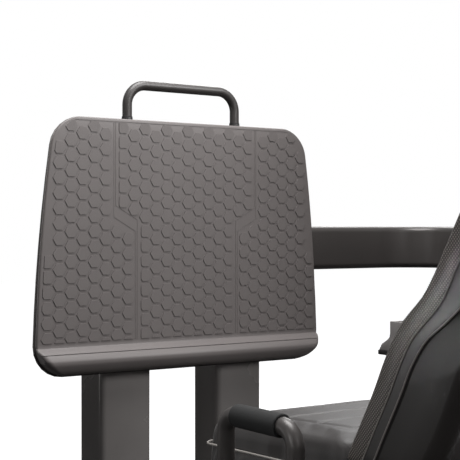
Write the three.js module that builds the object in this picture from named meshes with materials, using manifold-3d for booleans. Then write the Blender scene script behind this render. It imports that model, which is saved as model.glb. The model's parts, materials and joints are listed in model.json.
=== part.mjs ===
// Seated leg press: a fixed footplate on two posts, a seat that slides away from it on rails,
// and a weight stack in a tower at the user's right. Millimetres, +Z up.
// The user faces +Y. While the machine is laid out, X = 0 is the middle of the footplate,
// Y = 0 is its front face and Z = 0 is the floor; the last lines move it over its own middle.
import * as THREE from 'three';
import { mergeVertices } from 'three/addons/utils/BufferGeometryUtils.js';
import Module from 'manifold-3d';

const wasm = await Module();
wasm.setup();

// ---------------------------------------------------------------- driving dimensions
const GAP = 0.3; // left between pieces that touch
const ROUND_SIDES = 20;

const FOOT = { height: 20, size: 70 };
const BASE = { width: 100, height: 80, corner: 12 };
const BASE_TOP = FOOT.height + GAP + BASE.height;

const PLATE = {
  bottom: 470, top: 984, cover: 6, backing: 4,
  halfAtFoot: 349, halfAtHead: 313.9, bottomCorner: 62, topCorner: 58, rim: 4,
};
const LIP = { top: 528, groove: 515, reach: 26, noseZ: 497 };
const HANDLE = { radius: 10, halfSpan: 133, y: 22, top: 1057.5, bend: 42, foot: 885 };

const POST = { x: 139.6, width: 117, depth: 99, front: 10.6, top: 955, corner: 13 };
// A cap closes each post and holds one leg of the handle in a bored boss
const POST_CAP = { top: 970, bossTop: 989, bossRadius: 11.4, bore: 10.4 };
const POST_TIE = { depth: 12, low: 560, high: 880 };
const UPPER_BEAM = { low: 665, height: 103, depth: 60, corner: 14, from: -190, bend: 150 };

const TOWER = { inner: 610, outer: 960, front: -200, back: -720, column: 80, top: 1500, cap: 80 };
const TOWER_X = (TOWER.inner + TOWER.outer) / 2;
const SHROUD = { thick: 4, inset: 10 };
const TOWER_CORNER = 25;
const PIN_WINDOW = { half: 55, spare: 10 };
const CABLE_MOUTH = 12;

const CABLE = { radius: 3, z: 140 };
const STACK = {
  y: -470, width: 130, length: 280, plate: 22, resting: 10, lifted: 11,
  bottom: BASE_TOP + 30, rodSpread: 100, guideRadius: 12.5, selectorRadius: 12, pinRadius: 5,
};
const STACK_X = TOWER_X + 5;
const LIFT_LOW = STACK.bottom + STACK.resting * STACK.plate + 2 * GAP;
const LIFT_HIGH = LIFT_LOW + STACK.lifted * STACK.plate;
const ROD_TOP = LIFT_HIGH + 20;
const PULLEY = { small: 40, large: 76, halfWidth: 10, rim: 6, bore: 10.5, axle: 10 };
const TOP_PULLEY_Z = 1325;
const RISE_Y = STACK.y + 2 * PULLEY.large;
const YOKE = { z: 1200, thick: 20, port: 12 };

const TRAY = { left: 392, front: -192, back: -335, low: 499, top: 563, flare: 35, wall: 6, floor: 18 };

const RAIL = { x: 120, z: 190, radius: 19, front: -520, back: -1460 };
const SUPPORT = { depth: 40, half: 160, footHalf: 48, gate: 18, shoulder: 155, top: 232 };
const CARRIAGE = { front: -560, back: -880, width: 300, deck: 222, deckTop: 240, top: 330, anchor: -620 };
const PAN = { low: 331, high: 343, halfWidth: 222, front: -400, back: -775 };
const CUSHION = { halfWidth: 221, front: -385, back: -778, frontTop: 440, backTop: 458, corner: 26 };
const GRIP = { radius: 14, x: 268, front: -540, back: -720, top: 470, bend: 30 };

const PIVOT = { y: -905, z: 350, radius: 10, cheek: 15, cheekX: 80 };
const BACK = { halfWidth: 230, pad: 42, lowZ: 425, highZ: 1150, lean: Math.PI / 6, corner: 85 };
// The clamp bolt's place at rest is an angle above straight back from the pivot, in radians
const SLOT = { radius: 150, width: 14, rest: 0.19, travel: Math.PI / 9, spare: 0.05, rim: 0.2 };

// ---------------------------------------------------------------- finishes
const finish = (color, roughness, metalness = 0) =>
  new THREE.MeshStandardMaterial({ color, roughness, metalness });
const framePaint = () => finish(0x4a4644, 0.45, 0.3);
const mouldedTaupe = () => finish(0x6c6764, 0.6);
const blackRubber = () => finish(0x1c1b1b, 0.85);
const brightSteel = () => finish(0xc4c6c8, 0.22, 1);
const stackPaint = () => finish(0x2c2b2b, 0.5, 0.3);
const nylon = () => finish(0x232323, 0.5);
const upholstery = () => finish(0x33302f, 0.7);
const shellPlastic = () => finish(0x2d2a29, 0.4);
const greyPlastic = () => finish(0x8d8b89, 0.5);

// ---------------------------------------------------------------- geometry helpers
const X = new THREE.Vector3(1, 0, 0);
const Y = new THREE.Vector3(0, 1, 0);
const Z = new THREE.Vector3(0, 0, 1);
// How an outline drawn in a plane and pushed along z is turned to run along each axis
const TURN = {
  x: new THREE.Matrix4().makeBasis(Y, Z, X),
  y: new THREE.Matrix4().makeBasis(X, Z, Y.clone().negate()),
  z: new THREE.Matrix4(),
};

// An outline pushed along an axis and centred on it. Along x the outline is drawn in (Y, Z),
// along y in (X, Z), along z in (X, Y).
function prism(outline, length, axis, curveSegments = 2) {
  const geometry = new THREE.ExtrudeGeometry(outline, {
    depth: length, bevelEnabled: false, curveSegments,
  });
  geometry.translate(0, 0, -length / 2);
  return geometry.applyMatrix4(TURN[axis]);
}

function roundedRectangle(width, height, corner) {
  const w = width / 2;
  const h = height / 2;
  const shape = new THREE.Shape();
  shape.moveTo(w - corner, -h);
  shape.absarc(w - corner, -h + corner, corner, -Math.PI / 2, 0);
  shape.absarc(w - corner, h - corner, corner, 0, Math.PI / 2);
  shape.absarc(-w + corner, h - corner, corner, Math.PI / 2, Math.PI);
  shape.absarc(-w + corner, -h + corner, corner, Math.PI, 1.5 * Math.PI);
  return shape;
}

function polygon(points) {
  return new THREE.Shape(points.map(([a, b]) => new THREE.Vector2(a, b)));
}

function disc(radius) {
  const shape = new THREE.Shape();
  shape.absarc(0, 0, radius, 0, 2 * Math.PI);
  return shape;
}

// A bar along an axis between two opposite corners of its box
function barGeometry(axis, low, high, corner) {
  const size = low.map((value, i) => high[i] - value);
  const across = { x: [1, 2, 0], y: [0, 2, 1], z: [0, 1, 2] }[axis];
  const [a, b, along] = across.map((i) => size[i]);
  return prism(roundedRectangle(a, b, corner), along, axis);
}

const middle = (low, high) => new THREE.Vector3(...low.map((value, i) => (value + high[i]) / 2));

function round(radius, length, axis) {
  return prism(disc(radius), length, axis, ROUND_SIDES / 2);
}

// A ring of revolution about the given axis, from a closed profile of (radius, height) points
function ring(profile, axis) {
  const points = [...profile, profile[0]].map(([r, h]) => new THREE.Vector2(r, h));
  const geometry = new THREE.LatheGeometry(points, ROUND_SIDES);
  const turn = { x: [0, 0, -Math.PI / 2], y: [0, 0, 0], z: [Math.PI / 2, 0, 0] }[axis];
  return geometry.applyMatrix4(new THREE.Matrix4().makeRotationFromEuler(new THREE.Euler(...turn)));
}

// A round bend of a route at one of its corners
class Bend extends THREE.Curve {
  constructor(corner, into, out, radius) {
    super();
    this.into = into;
    this.radius = radius;
    this.turn = into.angleTo(out);
    this.cut = radius * Math.tan(this.turn / 2);
    this.inward = out.clone().addScaledVector(into, -into.dot(out)).normalize();
    this.start = corner.clone().addScaledVector(into, -this.cut);
    this.end = corner.clone().addScaledVector(out, this.cut);
    this.centre = this.start.clone().addScaledVector(this.inward, radius);
  }

  getPoint(t, target = new THREE.Vector3()) {
    const angle = t * this.turn;
    return target.copy(this.centre)
      .addScaledVector(this.inward, -this.radius * Math.cos(angle))
      .addScaledVector(this.into, this.radius * Math.sin(angle));
  }
}

// A route of straight runs joined by bends; a run takes one step and each bend its own few
class Route extends THREE.Curve {
  constructor(corners, radius, bendSteps) {
    super();
    this.stages = [];
    const points = corners.map((corner) => new THREE.Vector3(...corner));
    let from = points[0];
    for (let i = 1; i < points.length - 1; i += 1) {
      const into = points[i].clone().sub(points[i - 1]).normalize();
      const out = points[i + 1].clone().sub(points[i]).normalize();
      const bend = new Bend(points[i], into, out, Array.isArray(radius) ? radius[i - 1] : radius);
      this.addRun(from, bend.start);
      for (let k = 0; k < bendSteps; k += 1) {
        this.stages.push({ curve: bend, t0: k / bendSteps, t1: (k + 1) / bendSteps });
      }
      from = bend.end;
    }
    this.addRun(from, points[points.length - 1]);
  }

  addRun(from, to) {
    if (from.distanceTo(to) > 1) {
      this.stages.push({ curve: new THREE.LineCurve3(from, to), t0: 0, t1: 1 });
    }
  }

  locate(u) {
    const place = u * this.stages.length;
    const index = Math.min(Math.floor(place + 1e-9), this.stages.length - 1);
    const stage = this.stages[index];
    return [stage.curve, stage.t0 + (stage.t1 - stage.t0) * (place - index)];
  }

  getPointAt(u) {
    const [curve, t] = this.locate(u);
    return curve.getPoint(t);
  }

  getTangentAt(u, target = new THREE.Vector3()) {
    const [curve, t] = this.locate(u);
    return target.copy(curve.getTangent(t));
  }
}

function sweep(outline, route, curveSegments = 3) {
  return new THREE.ExtrudeGeometry(outline, {
    steps: route.stages.length, extrudePath: route, bevelEnabled: false, curveSegments,
  });
}

const tube = (radius, route, sides = 12) => sweep(disc(radius), route, sides / 2);

// ---------------------------------------------------------------- joining and cutting
function toSolid(geometry) {
  const bare = geometry.clone();
  bare.deleteAttribute('normal');
  bare.deleteAttribute('uv');
  const merged = mergeVertices(bare, 1e-3);
  return new wasm.Manifold(new wasm.Mesh({
    numProp: 3,
    vertProperties: new Float32Array(merged.attributes.position.array),
    triVerts: new Uint32Array(merged.index.array),
  }));
}

function toGeometry(solid) {
  const { vertProperties, triVerts } = solid.getMesh();
  const geometry = new THREE.BufferGeometry();
  geometry.setAttribute('position', new THREE.BufferAttribute(vertProperties, 3));
  geometry.setIndex(new THREE.BufferAttribute(triVerts, 1));
  return geometry;
}

const join = (...list) => toGeometry(list.map(toSolid).reduce((a, b) => a.add(b)));
const overlap = (a, b) => toGeometry(toSolid(a).intersect(toSolid(b)));
const cut = (body, ...tools) =>
  toGeometry(tools.reduce((rest, tool) => rest.subtract(toSolid(tool)), toSolid(body)));

// ---------------------------------------------------------------- the scene graph
const machine = new THREE.Group();
const frame = new THREE.Group();
const tower = new THREE.Group();
const carriage = new THREE.Group();
const backrest = new THREE.Group();
machine.add(frame, tower, carriage);
carriage.add(backrest);

function add(group, name, geometry, material, position = new THREE.Vector3()) {
  const mesh = new THREE.Mesh(geometry, material);
  mesh.name = name;
  mesh.position.copy(position);
  group.add(mesh);
}

function addBar(group, name, axis, low, high, corner, material) {
  add(group, name, barGeometry(axis, low, high, corner), material, middle(low, high));
}

const at = (x, y, z) => new THREE.Vector3(x, y, z);
const moved = (geometry, x, y, z) => geometry.translate(x, y, z);

// ---------------------------------------------------------------- base
const BASE_LOW = FOOT.height + GAP;
const FRONT_BEAM = { front: 10, back: 110, half: 300 };
const REAR_BEAM = { front: -1620, back: -1520, half: 300 };

function buildBase() {
  const half = BASE.width / 2;
  addBar(frame, 'base_spine', 'y', [-half, REAR_BEAM.back + GAP, BASE_LOW],
    [half, FRONT_BEAM.front - GAP, BASE_TOP], BASE.corner, framePaint());
  for (const [name, beam] of [['front_base_beam', FRONT_BEAM], ['rear_base_beam', REAR_BEAM]]) {
    addBar(frame, name, 'x', [-beam.half, beam.front, BASE_LOW], [beam.half, beam.back, BASE_TOP],
      BASE.corner, framePaint());
  }
  addBar(frame, 'link_beam', 'x', [half + GAP, RISE_Y - 40, BASE_LOW],
    [TOWER.inner - GAP, RISE_Y + 40, BASE_TOP], BASE.corner, framePaint());
  const footX = FRONT_BEAM.half - FOOT.size / 2 - 10;
  const feet = [
    ['front_left_foot', -footX, FRONT_BEAM], ['front_right_foot', footX, FRONT_BEAM],
    ['rear_left_foot', -footX, REAR_BEAM], ['rear_right_foot', footX, REAR_BEAM],
  ];
  for (const [name, x, beam] of feet) {
    add(frame, name, round(FOOT.size / 2, FOOT.height, 'z'), blackRubber(),
      at(x, (beam.front + beam.back) / 2, FOOT.height / 2));
  }
}

// ---------------------------------------------------------------- footplate and its posts
// The plate's outline in (X, Z): wider towards its foot, with round corners
function plateOutline(bottom, inset) {
  const low = bottom + PLATE.bottomCorner;
  const high = PLATE.top - PLATE.topCorner;
  const foot = PLATE.halfAtFoot - inset;
  const head = PLATE.halfAtHead;
  const third = (high - low) / 3;
  const roundness = 0.55; // how far a quarter turn's handles reach towards its corner
  const waist = { low: 3.8, high: 18.7 }; // how far the side's handles draw in or stand out
  const shoulder = 8; // the head's corner leans in by this much
  const shape = new THREE.Shape();
  const side = (s) => [
    [s * (foot - PLATE.bottomCorner), bottom],
    [s * (foot - PLATE.bottomCorner * (1 - roundness)), bottom,
      s * foot, low - PLATE.bottomCorner * roundness, s * foot, low],
    [s * (foot - waist.low), low + third, s * (head + waist.high), high - third, s * head, high],
    [s * (head - shoulder / 2), high + PLATE.topCorner * roundness,
      s * (head - shoulder - PLATE.topCorner * (1 - roundness)), PLATE.top,
      s * (head - shoulder - PLATE.topCorner), PLATE.top],
  ];
  const [start, ...right] = side(1);
  shape.moveTo(...start);
  right.forEach((curve) => shape.bezierCurveTo(...curve));
  const left = side(-1);
  const headStart = left[3].slice(4);
  shape.lineTo(...headStart);
  // The left side is the right side's curves taken backwards
  for (let i = 3; i >= 1; i -= 1) {
    const end = i === 1 ? left[0] : left[i - 1].slice(4);
    const [ax, az, bx, bz] = left[i];
    shape.bezierCurveTo(bx, bz, ax, az, ...end);
  }
  return shape;
}

// The cover's profile in (Y, Z): flat above, with a rolled lip along its foot
function coverProfile() {
  const back = PLATE.cover;
  const low = PLATE.bottom + PLATE.rim;
  const shape = new THREE.Shape();
  shape.moveTo(back, low);
  shape.lineTo(back, PLATE.top + 1);
  shape.lineTo(0, PLATE.top + 1);
  shape.lineTo(0, LIP.top + 4);
  shape.quadraticCurveTo(-1, LIP.top - 4, -LIP.reach * 0.5, LIP.groove + 3);
  shape.lineTo(-LIP.reach * 0.66, LIP.groove);
  shape.quadraticCurveTo(-LIP.reach, LIP.groove - 3, -LIP.reach, LIP.noseZ);
  shape.quadraticCurveTo(-LIP.reach, low + 3, -LIP.reach * 0.35, low);
  return shape;
}

function buildFootplate() {
  const wide = 2 * PLATE.halfAtFoot + 20;
  const outline = prism(plateOutline(PLATE.bottom + PLATE.rim, PLATE.rim), 80, 'y', 6);
  const profile = prism(coverProfile(), wide, 'x', 4);
  add(frame, 'footplate_cover', overlap(outline, profile), mouldedTaupe());
  const backingMiddle = PLATE.cover + GAP + PLATE.backing / 2;
  add(frame, 'footplate_backing', prism(plateOutline(PLATE.bottom, 0), PLATE.backing, 'y', 6),
    framePaint(), at(0, backingMiddle, 0));

  const handleRoute = new Route([
    [-HANDLE.halfSpan, HANDLE.y, HANDLE.foot], [-HANDLE.halfSpan, HANDLE.y, HANDLE.top],
    [HANDLE.halfSpan, HANDLE.y, HANDLE.top], [HANDLE.halfSpan, HANDLE.y, HANDLE.foot],
  ], HANDLE.bend, 8);
  add(frame, 'footplate_handle', tube(HANDLE.radius, handleRoute), framePaint());
}

function buildPosts() {
  const back = POST.front + POST.depth;
  for (const [side, s] of [['left', -1], ['right', 1]]) {
    const left = s * POST.x - POST.width / 2;
    const right = s * POST.x + POST.width / 2;
    const column = barGeometry('z', [left, POST.front, BASE_TOP + GAP], [right, back, POST.top],
      POST.corner);
    const centre = middle([left, POST.front, BASE_TOP + GAP], [right, back, POST.top]);
    const legBore = (low, high) => moved(round(POST_CAP.bore, high - low, 'z'),
      s * HANDLE.halfSpan, HANDLE.y, (low + high) / 2);
    const bored = cut(moved(column, ...centre.toArray()), legBore(HANDLE.foot - GAP, POST.top + 1));
    add(frame, `${side}_post`, bored, framePaint());

    const capLow = POST.top + GAP;
    const plate = moved(barGeometry('z', [left, POST.front, capLow], [right, back, POST_CAP.top],
      POST.corner), s * POST.x, (POST.front + back) / 2, (capLow + POST_CAP.top) / 2);
    const boss = moved(round(POST_CAP.bossRadius, POST_CAP.bossTop - capLow, 'z'),
      s * HANDLE.halfSpan, HANDLE.y, (POST_CAP.bossTop + capLow) / 2);
    add(frame, `${side}_post_cap`, cut(join(plate, boss), legBore(capLow - 1, POST_CAP.bossTop + 1)),
      nylon());
  }
  const tieHalf = POST.x - POST.width / 2 - GAP;
  addBar(frame, 'post_tie', 'z', [-tieHalf, POST.front, POST_TIE.low],
    [tieHalf, POST.front + POST_TIE.depth, POST_TIE.high], 2, framePaint());

  const y = POST.front + POST.depth + GAP + UPPER_BEAM.depth / 2;
  const z = UPPER_BEAM.low + UPPER_BEAM.height / 2;
  const route = new Route(
    [[UPPER_BEAM.from, y, z], [TOWER_X, y, z], [TOWER_X, TOWER.front + GAP, z]], UPPER_BEAM.bend, 9);
  const section = roundedRectangle(UPPER_BEAM.height, UPPER_BEAM.depth, UPPER_BEAM.corner);
  add(frame, 'upper_beam', sweep(section, route, 2), framePaint());
}

// ---------------------------------------------------------------- rails
function buildRails() {
  for (const [name, side] of [['left_rail', -1], ['right_rail', 1]]) {
    const length = RAIL.front - RAIL.back - 2 * GAP;
    add(frame, name, round(RAIL.radius, length, 'y'), brightSteel(),
      at(side * RAIL.x, (RAIL.front + RAIL.back) / 2, RAIL.z));
  }
  // Each support stands on the spine and leaves a gate in its middle for the cable
  const { half, footHalf, gate, shoulder, top } = SUPPORT;
  const foot = BASE_TOP + GAP;
  const gateTop = CABLE.z + gate;
  const outline = polygon([
    [-footHalf, foot], [-gate, foot], [-gate, gateTop], [gate, gateTop], [gate, foot], [footHalf, foot],
    [half, shoulder], [half, top], [-half, top], [-half, shoulder],
  ]);
  const places = [
    ['front_rail_support', RAIL.front + SUPPORT.depth / 2],
    ['rear_rail_support', RAIL.back - SUPPORT.depth / 2],
  ];
  for (const [name, y] of places) {
    add(frame, name, prism(outline, SUPPORT.depth, 'y'), framePaint(), at(0, y, 0));
  }
}

// ---------------------------------------------------------------- weight tower
function stackGeometry(low, high) {
  const half = STACK.length / 2;
  const body = barGeometry('z', [-STACK.width / 2, -half, low], [STACK.width / 2, half, high], 4);
  const holes = [-1, 0, 1].map((side) => {
    const radius = (side === 0 ? STACK.selectorRadius : STACK.guideRadius) + 2;
    return moved(round(radius, high - low + 2, 'z'), 0, side * STACK.rodSpread, 0);
  });
  return cut(body, ...holes);
}

function buildTowerFrame() {
  const left = TOWER.inner;
  const right = TOWER.outer;
  const columnTop = TOWER.top - TOWER.cap;
  addBar(tower, 'tower_base', 'z', [left, TOWER.back, BASE_LOW], [right, TOWER.front, BASE_TOP],
    TOWER_CORNER, framePaint());
  const inset = 15;
  addBar(tower, 'tower_foot', 'z', [left + inset, TOWER.back + inset, 0],
    [right - inset, TOWER.front - inset, FOOT.height], TOWER_CORNER - inset / 3, blackRubber());
  addBar(tower, 'tower_top', 'z', [left, TOWER.back, columnTop + GAP], [right, TOWER.front, TOWER.top],
    TOWER_CORNER, framePaint());
  const frontInside = TOWER.front - TOWER.column;
  const backInside = TOWER.back + TOWER.column;
  addBar(tower, 'tower_front_column', 'z', [left, frontInside, BASE_TOP + GAP],
    [right, TOWER.front, columnTop], TOWER_CORNER, framePaint());
  addBar(tower, 'tower_rear_column', 'z', [left, TOWER.back, BASE_TOP + GAP],
    [right, backInside, columnTop], TOWER_CORNER, framePaint());

  // Shrouds between the columns; the inner one has a window for the pin and a hole for the cable
  const height = columnTop - BASE_TOP - 2 * GAP;
  const width = frontInside - backInside - 2 * GAP;
  const centreY = (frontInside + backInside) / 2;
  const centreZ = (columnTop + BASE_TOP) / 2;
  const panel = roundedRectangle(width, height, 3);
  add(tower, 'outer_shroud', prism(panel, SHROUD.thick, 'x'), framePaint(),
    at(right - SHROUD.inset, centreY, centreZ));
  const inner = panel.clone();
  const hole = (y, half, low, high) => inner.holes.push(polygon([
    [y - half - centreY, low - centreZ], [y - half - centreY, high - centreZ],
    [y + half - centreY, high - centreZ], [y + half - centreY, low - centreZ],
  ]));
  hole(STACK.y, PIN_WINDOW.half, STACK.bottom + PIN_WINDOW.spare, LIFT_HIGH + PIN_WINDOW.spare);
  hole(RISE_Y, CABLE_MOUTH, CABLE.z - CABLE_MOUTH, CABLE.z + CABLE_MOUTH);
  add(tower, 'inner_shroud', prism(inner, SHROUD.thick, 'x'), framePaint(),
    at(left + SHROUD.inset, centreY, centreZ));

  // The yoke holds the guide rods' heads and lets the cable past on both sides of its pulley
  const yokeSize = [STACK.width, width, YOKE.thick];
  const yoke = barGeometry('z', yokeSize.map((s) => -s / 2), yokeSize.map((s) => s / 2), 5);
  const ports = [STACK.y, RISE_Y].map((y) => moved(round(YOKE.port, YOKE.thick + 2, 'z'), 0, y - centreY, 0));
  add(tower, 'guide_rod_yoke', cut(yoke, ...ports), framePaint(), at(STACK_X, centreY, YOKE.z));
  const rodHigh = YOKE.z - YOKE.thick / 2 - GAP;
  const rodLow = BASE_TOP + GAP;
  for (const [name, side] of [['front_guide_rod', 1], ['rear_guide_rod', -1]]) {
    add(tower, name, round(STACK.guideRadius, rodHigh - rodLow, 'z'), brightSteel(),
      at(STACK_X, STACK.y + side * STACK.rodSpread, (rodHigh + rodLow) / 2));
  }
}

function buildStack() {
  const restLow = STACK.bottom;
  const restHigh = LIFT_LOW - GAP;
  const cushion = { low: BASE_TOP + GAP, high: restLow - GAP };
  add(tower, 'stack_cushion', stackGeometry((cushion.low - cushion.high) / 2,
    (cushion.high - cushion.low) / 2), blackRubber(),
  at(STACK_X, STACK.y, (cushion.low + cushion.high) / 2));
  const half = (restHigh - restLow) / 2;
  add(tower, 'resting_plates', stackGeometry(-half, half), stackPaint(),
    at(STACK_X, STACK.y, restLow + half));

  const liftHalf = (LIFT_HIGH - LIFT_LOW) / 2;
  const pinZ = LIFT_LOW + STACK.plate / 2;
  const pinBore = moved(round(STACK.pinRadius + 1, STACK.width / 2 + 1, 'x'),
    -STACK.width / 4 - 0.5, 0, pinZ - LIFT_LOW - liftHalf);
  const lifted = cut(stackGeometry(-liftHalf, liftHalf), pinBore);
  add(tower, 'lifted_plates', lifted, stackPaint(), at(STACK_X, STACK.y, LIFT_LOW + liftHalf));

  const rodLow = STACK.bottom + 20;
  const rod = round(STACK.selectorRadius, ROD_TOP - rodLow, 'z');
  const rodMiddle = (ROD_TOP + rodLow) / 2;
  const rodBore = moved(round(STACK.pinRadius + 1, 60, 'x'), 0, 0, pinZ - rodMiddle);
  add(tower, 'selector_rod', cut(rod, rodBore), brightSteel(), at(STACK_X, STACK.y, rodMiddle));

  const shankLength = STACK.width / 2 + STACK.selectorRadius;
  const shank = moved(round(STACK.pinRadius, shankLength + 10, 'x'), shankLength / 2 - 5, 0, 0);
  const knob = ring([[0, -22], [13, -20], [15, -8], [11, 4], [16, 18], [0, 20]], 'x');
  add(tower, 'selector_pin', join(shank, moved(knob, -24, 0, 0)), nylon(),
    at(STACK_X - STACK.width / 2, STACK.y, pinZ));
}

// ---------------------------------------------------------------- cable and pulleys
function pulleyProfile(pitch) {
  const { bore, halfWidth, rim } = PULLEY;
  const edge = pitch + rim;
  return [
    [bore, -halfWidth], [edge, -halfWidth], [edge, 2.5 - halfWidth], [pitch - 1.5, -3.8],
    [pitch - 3.9, 0], [pitch - 1.5, 3.8], [edge, halfWidth - 2.5], [edge, halfWidth],
    [bore, halfWidth],
  ];
}

function buildCableDrive() {
  const { small, large, halfWidth, axle } = PULLEY;
  const link = at(small, RISE_Y - small, CABLE.z);
  const low = at(STACK_X - small, RISE_Y, CABLE.z + small);
  const high = at(STACK_X, STACK.y + large, TOP_PULLEY_Z);
  add(frame, 'link_pulley', ring(pulleyProfile(small), 'z'), nylon(), link);
  add(tower, 'base_pulley', ring(pulleyProfile(small), 'y'), nylon(), low);
  add(tower, 'top_pulley', ring(pulleyProfile(large), 'x'), nylon(), high);

  // Stub axles: one stands on the spine, one reaches back from the front column
  const foot = BASE_TOP + GAP - CABLE.z;
  const flange = -halfWidth - 1;
  const stub = [
    [0, foot], [22, foot], [22, foot + 8], [15, flange], [axle, flange], [axle, halfWidth + 1],
    [16, halfWidth + 1], [14, halfWidth + 8], [0, halfWidth + 8],
  ];
  add(frame, 'link_pulley_axle', ring(stub, 'z'), brightSteel(), link);
  const wall = TOWER.front - TOWER.column - GAP - RISE_Y;
  const reach = [
    [0, -halfWidth - 2], [axle - 0.2, -halfWidth - 2], [axle, halfWidth + 1], [15, halfWidth + 1],
    [22, wall - 8], [22, wall], [0, wall],
  ];
  add(tower, 'base_pulley_axle', ring(reach, 'y'), brightSteel(), low);

  // The top pulley hangs in a fork under the tower's top
  const ceiling = TOWER.top - TOWER.cap - GAP - TOP_PULLEY_Z;
  const cheekInside = halfWidth + 1.5;
  const cheekOutside = cheekInside + 6;
  const cheeks = [-1, 1].map((s) => moved(
    barGeometry('z', [-3, -30, -30], [3, 30, ceiling], 1), s * (cheekInside + 3), 0, ceiling / 2 - 15));
  const web = moved(barGeometry('z', [-cheekOutside, -30, -3], [cheekOutside, 30, 3], 1),
    0, 0, ceiling - 3);
  const pin = round(axle, 2 * cheekOutside + 6, 'x');
  add(tower, 'top_pulley_fork', join(...cheeks, web, pin), framePaint(), high);

  // The cable: from the carriage, round the low pulleys, up and over to the selector rod
  const anchorY = CARRIAGE.anchor + 10 + GAP;
  const carriageRun = new Route([[0, anchorY, CABLE.z], [0, link.y - GAP, CABLE.z]], 1, 1);
  add(frame, 'cable_carriage', tube(CABLE.radius, carriageRun, 8), nylon());
  const over = TOP_PULLEY_Z + large;
  const run = new Route([
    [0, link.y, CABLE.z], [0, RISE_Y, CABLE.z], [STACK_X, RISE_Y, CABLE.z], [STACK_X, RISE_Y, over],
    [STACK_X, STACK.y, over], [STACK_X, STACK.y, TOP_PULLEY_Z],
  ], [small, small, large, large], 9);
  add(frame, 'cable_run', tube(CABLE.radius, run, 8), nylon());
  const stackRun = new Route(
    [[STACK_X, STACK.y, TOP_PULLEY_Z - GAP], [STACK_X, STACK.y, ROD_TOP + GAP]], 1, 1);
  add(tower, 'cable_stack', tube(CABLE.radius, stackRun, 8), nylon());
}

// ---------------------------------------------------------------- accessory tray
function buildTray() {
  const shape = new THREE.Shape();
  shape.moveTo(TRAY.back, TRAY.low);
  shape.lineTo(TRAY.front + TRAY.flare, TRAY.low);
  shape.quadraticCurveTo(TRAY.front + TRAY.flare - 4, TRAY.low + 15, TRAY.front + 8, TRAY.low + 24);
  shape.quadraticCurveTo(TRAY.front, TRAY.low + 28, TRAY.front, TRAY.low + 38);
  shape.lineTo(TRAY.front, TRAY.top);
  shape.lineTo(TRAY.back, TRAY.top);
  const right = TOWER.inner - GAP;
  const middleX = (TRAY.left + right) / 2;
  const body = moved(prism(shape, right - TRAY.left, 'x'), middleX, 0, 0);
  const hollow = moved(barGeometry('z', [TRAY.left + TRAY.wall, TRAY.back + TRAY.wall, 0],
    [right - TRAY.wall, TRAY.front - TRAY.wall, TRAY.top - TRAY.low - TRAY.floor + 2], 12),
  middleX, (TRAY.front + TRAY.back) / 2, (TRAY.top + TRAY.low + TRAY.floor) / 2 + 1);
  add(tower, 'accessory_tray', cut(body, hollow), greyPlastic());
  addBar(tower, 'tray_base', 'z', [TRAY.left - 3, TRAY.back - 3, TRAY.low - 10],
    [right, TRAY.front + TRAY.flare + 3, TRAY.low - GAP], 6, nylon());
}

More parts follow.
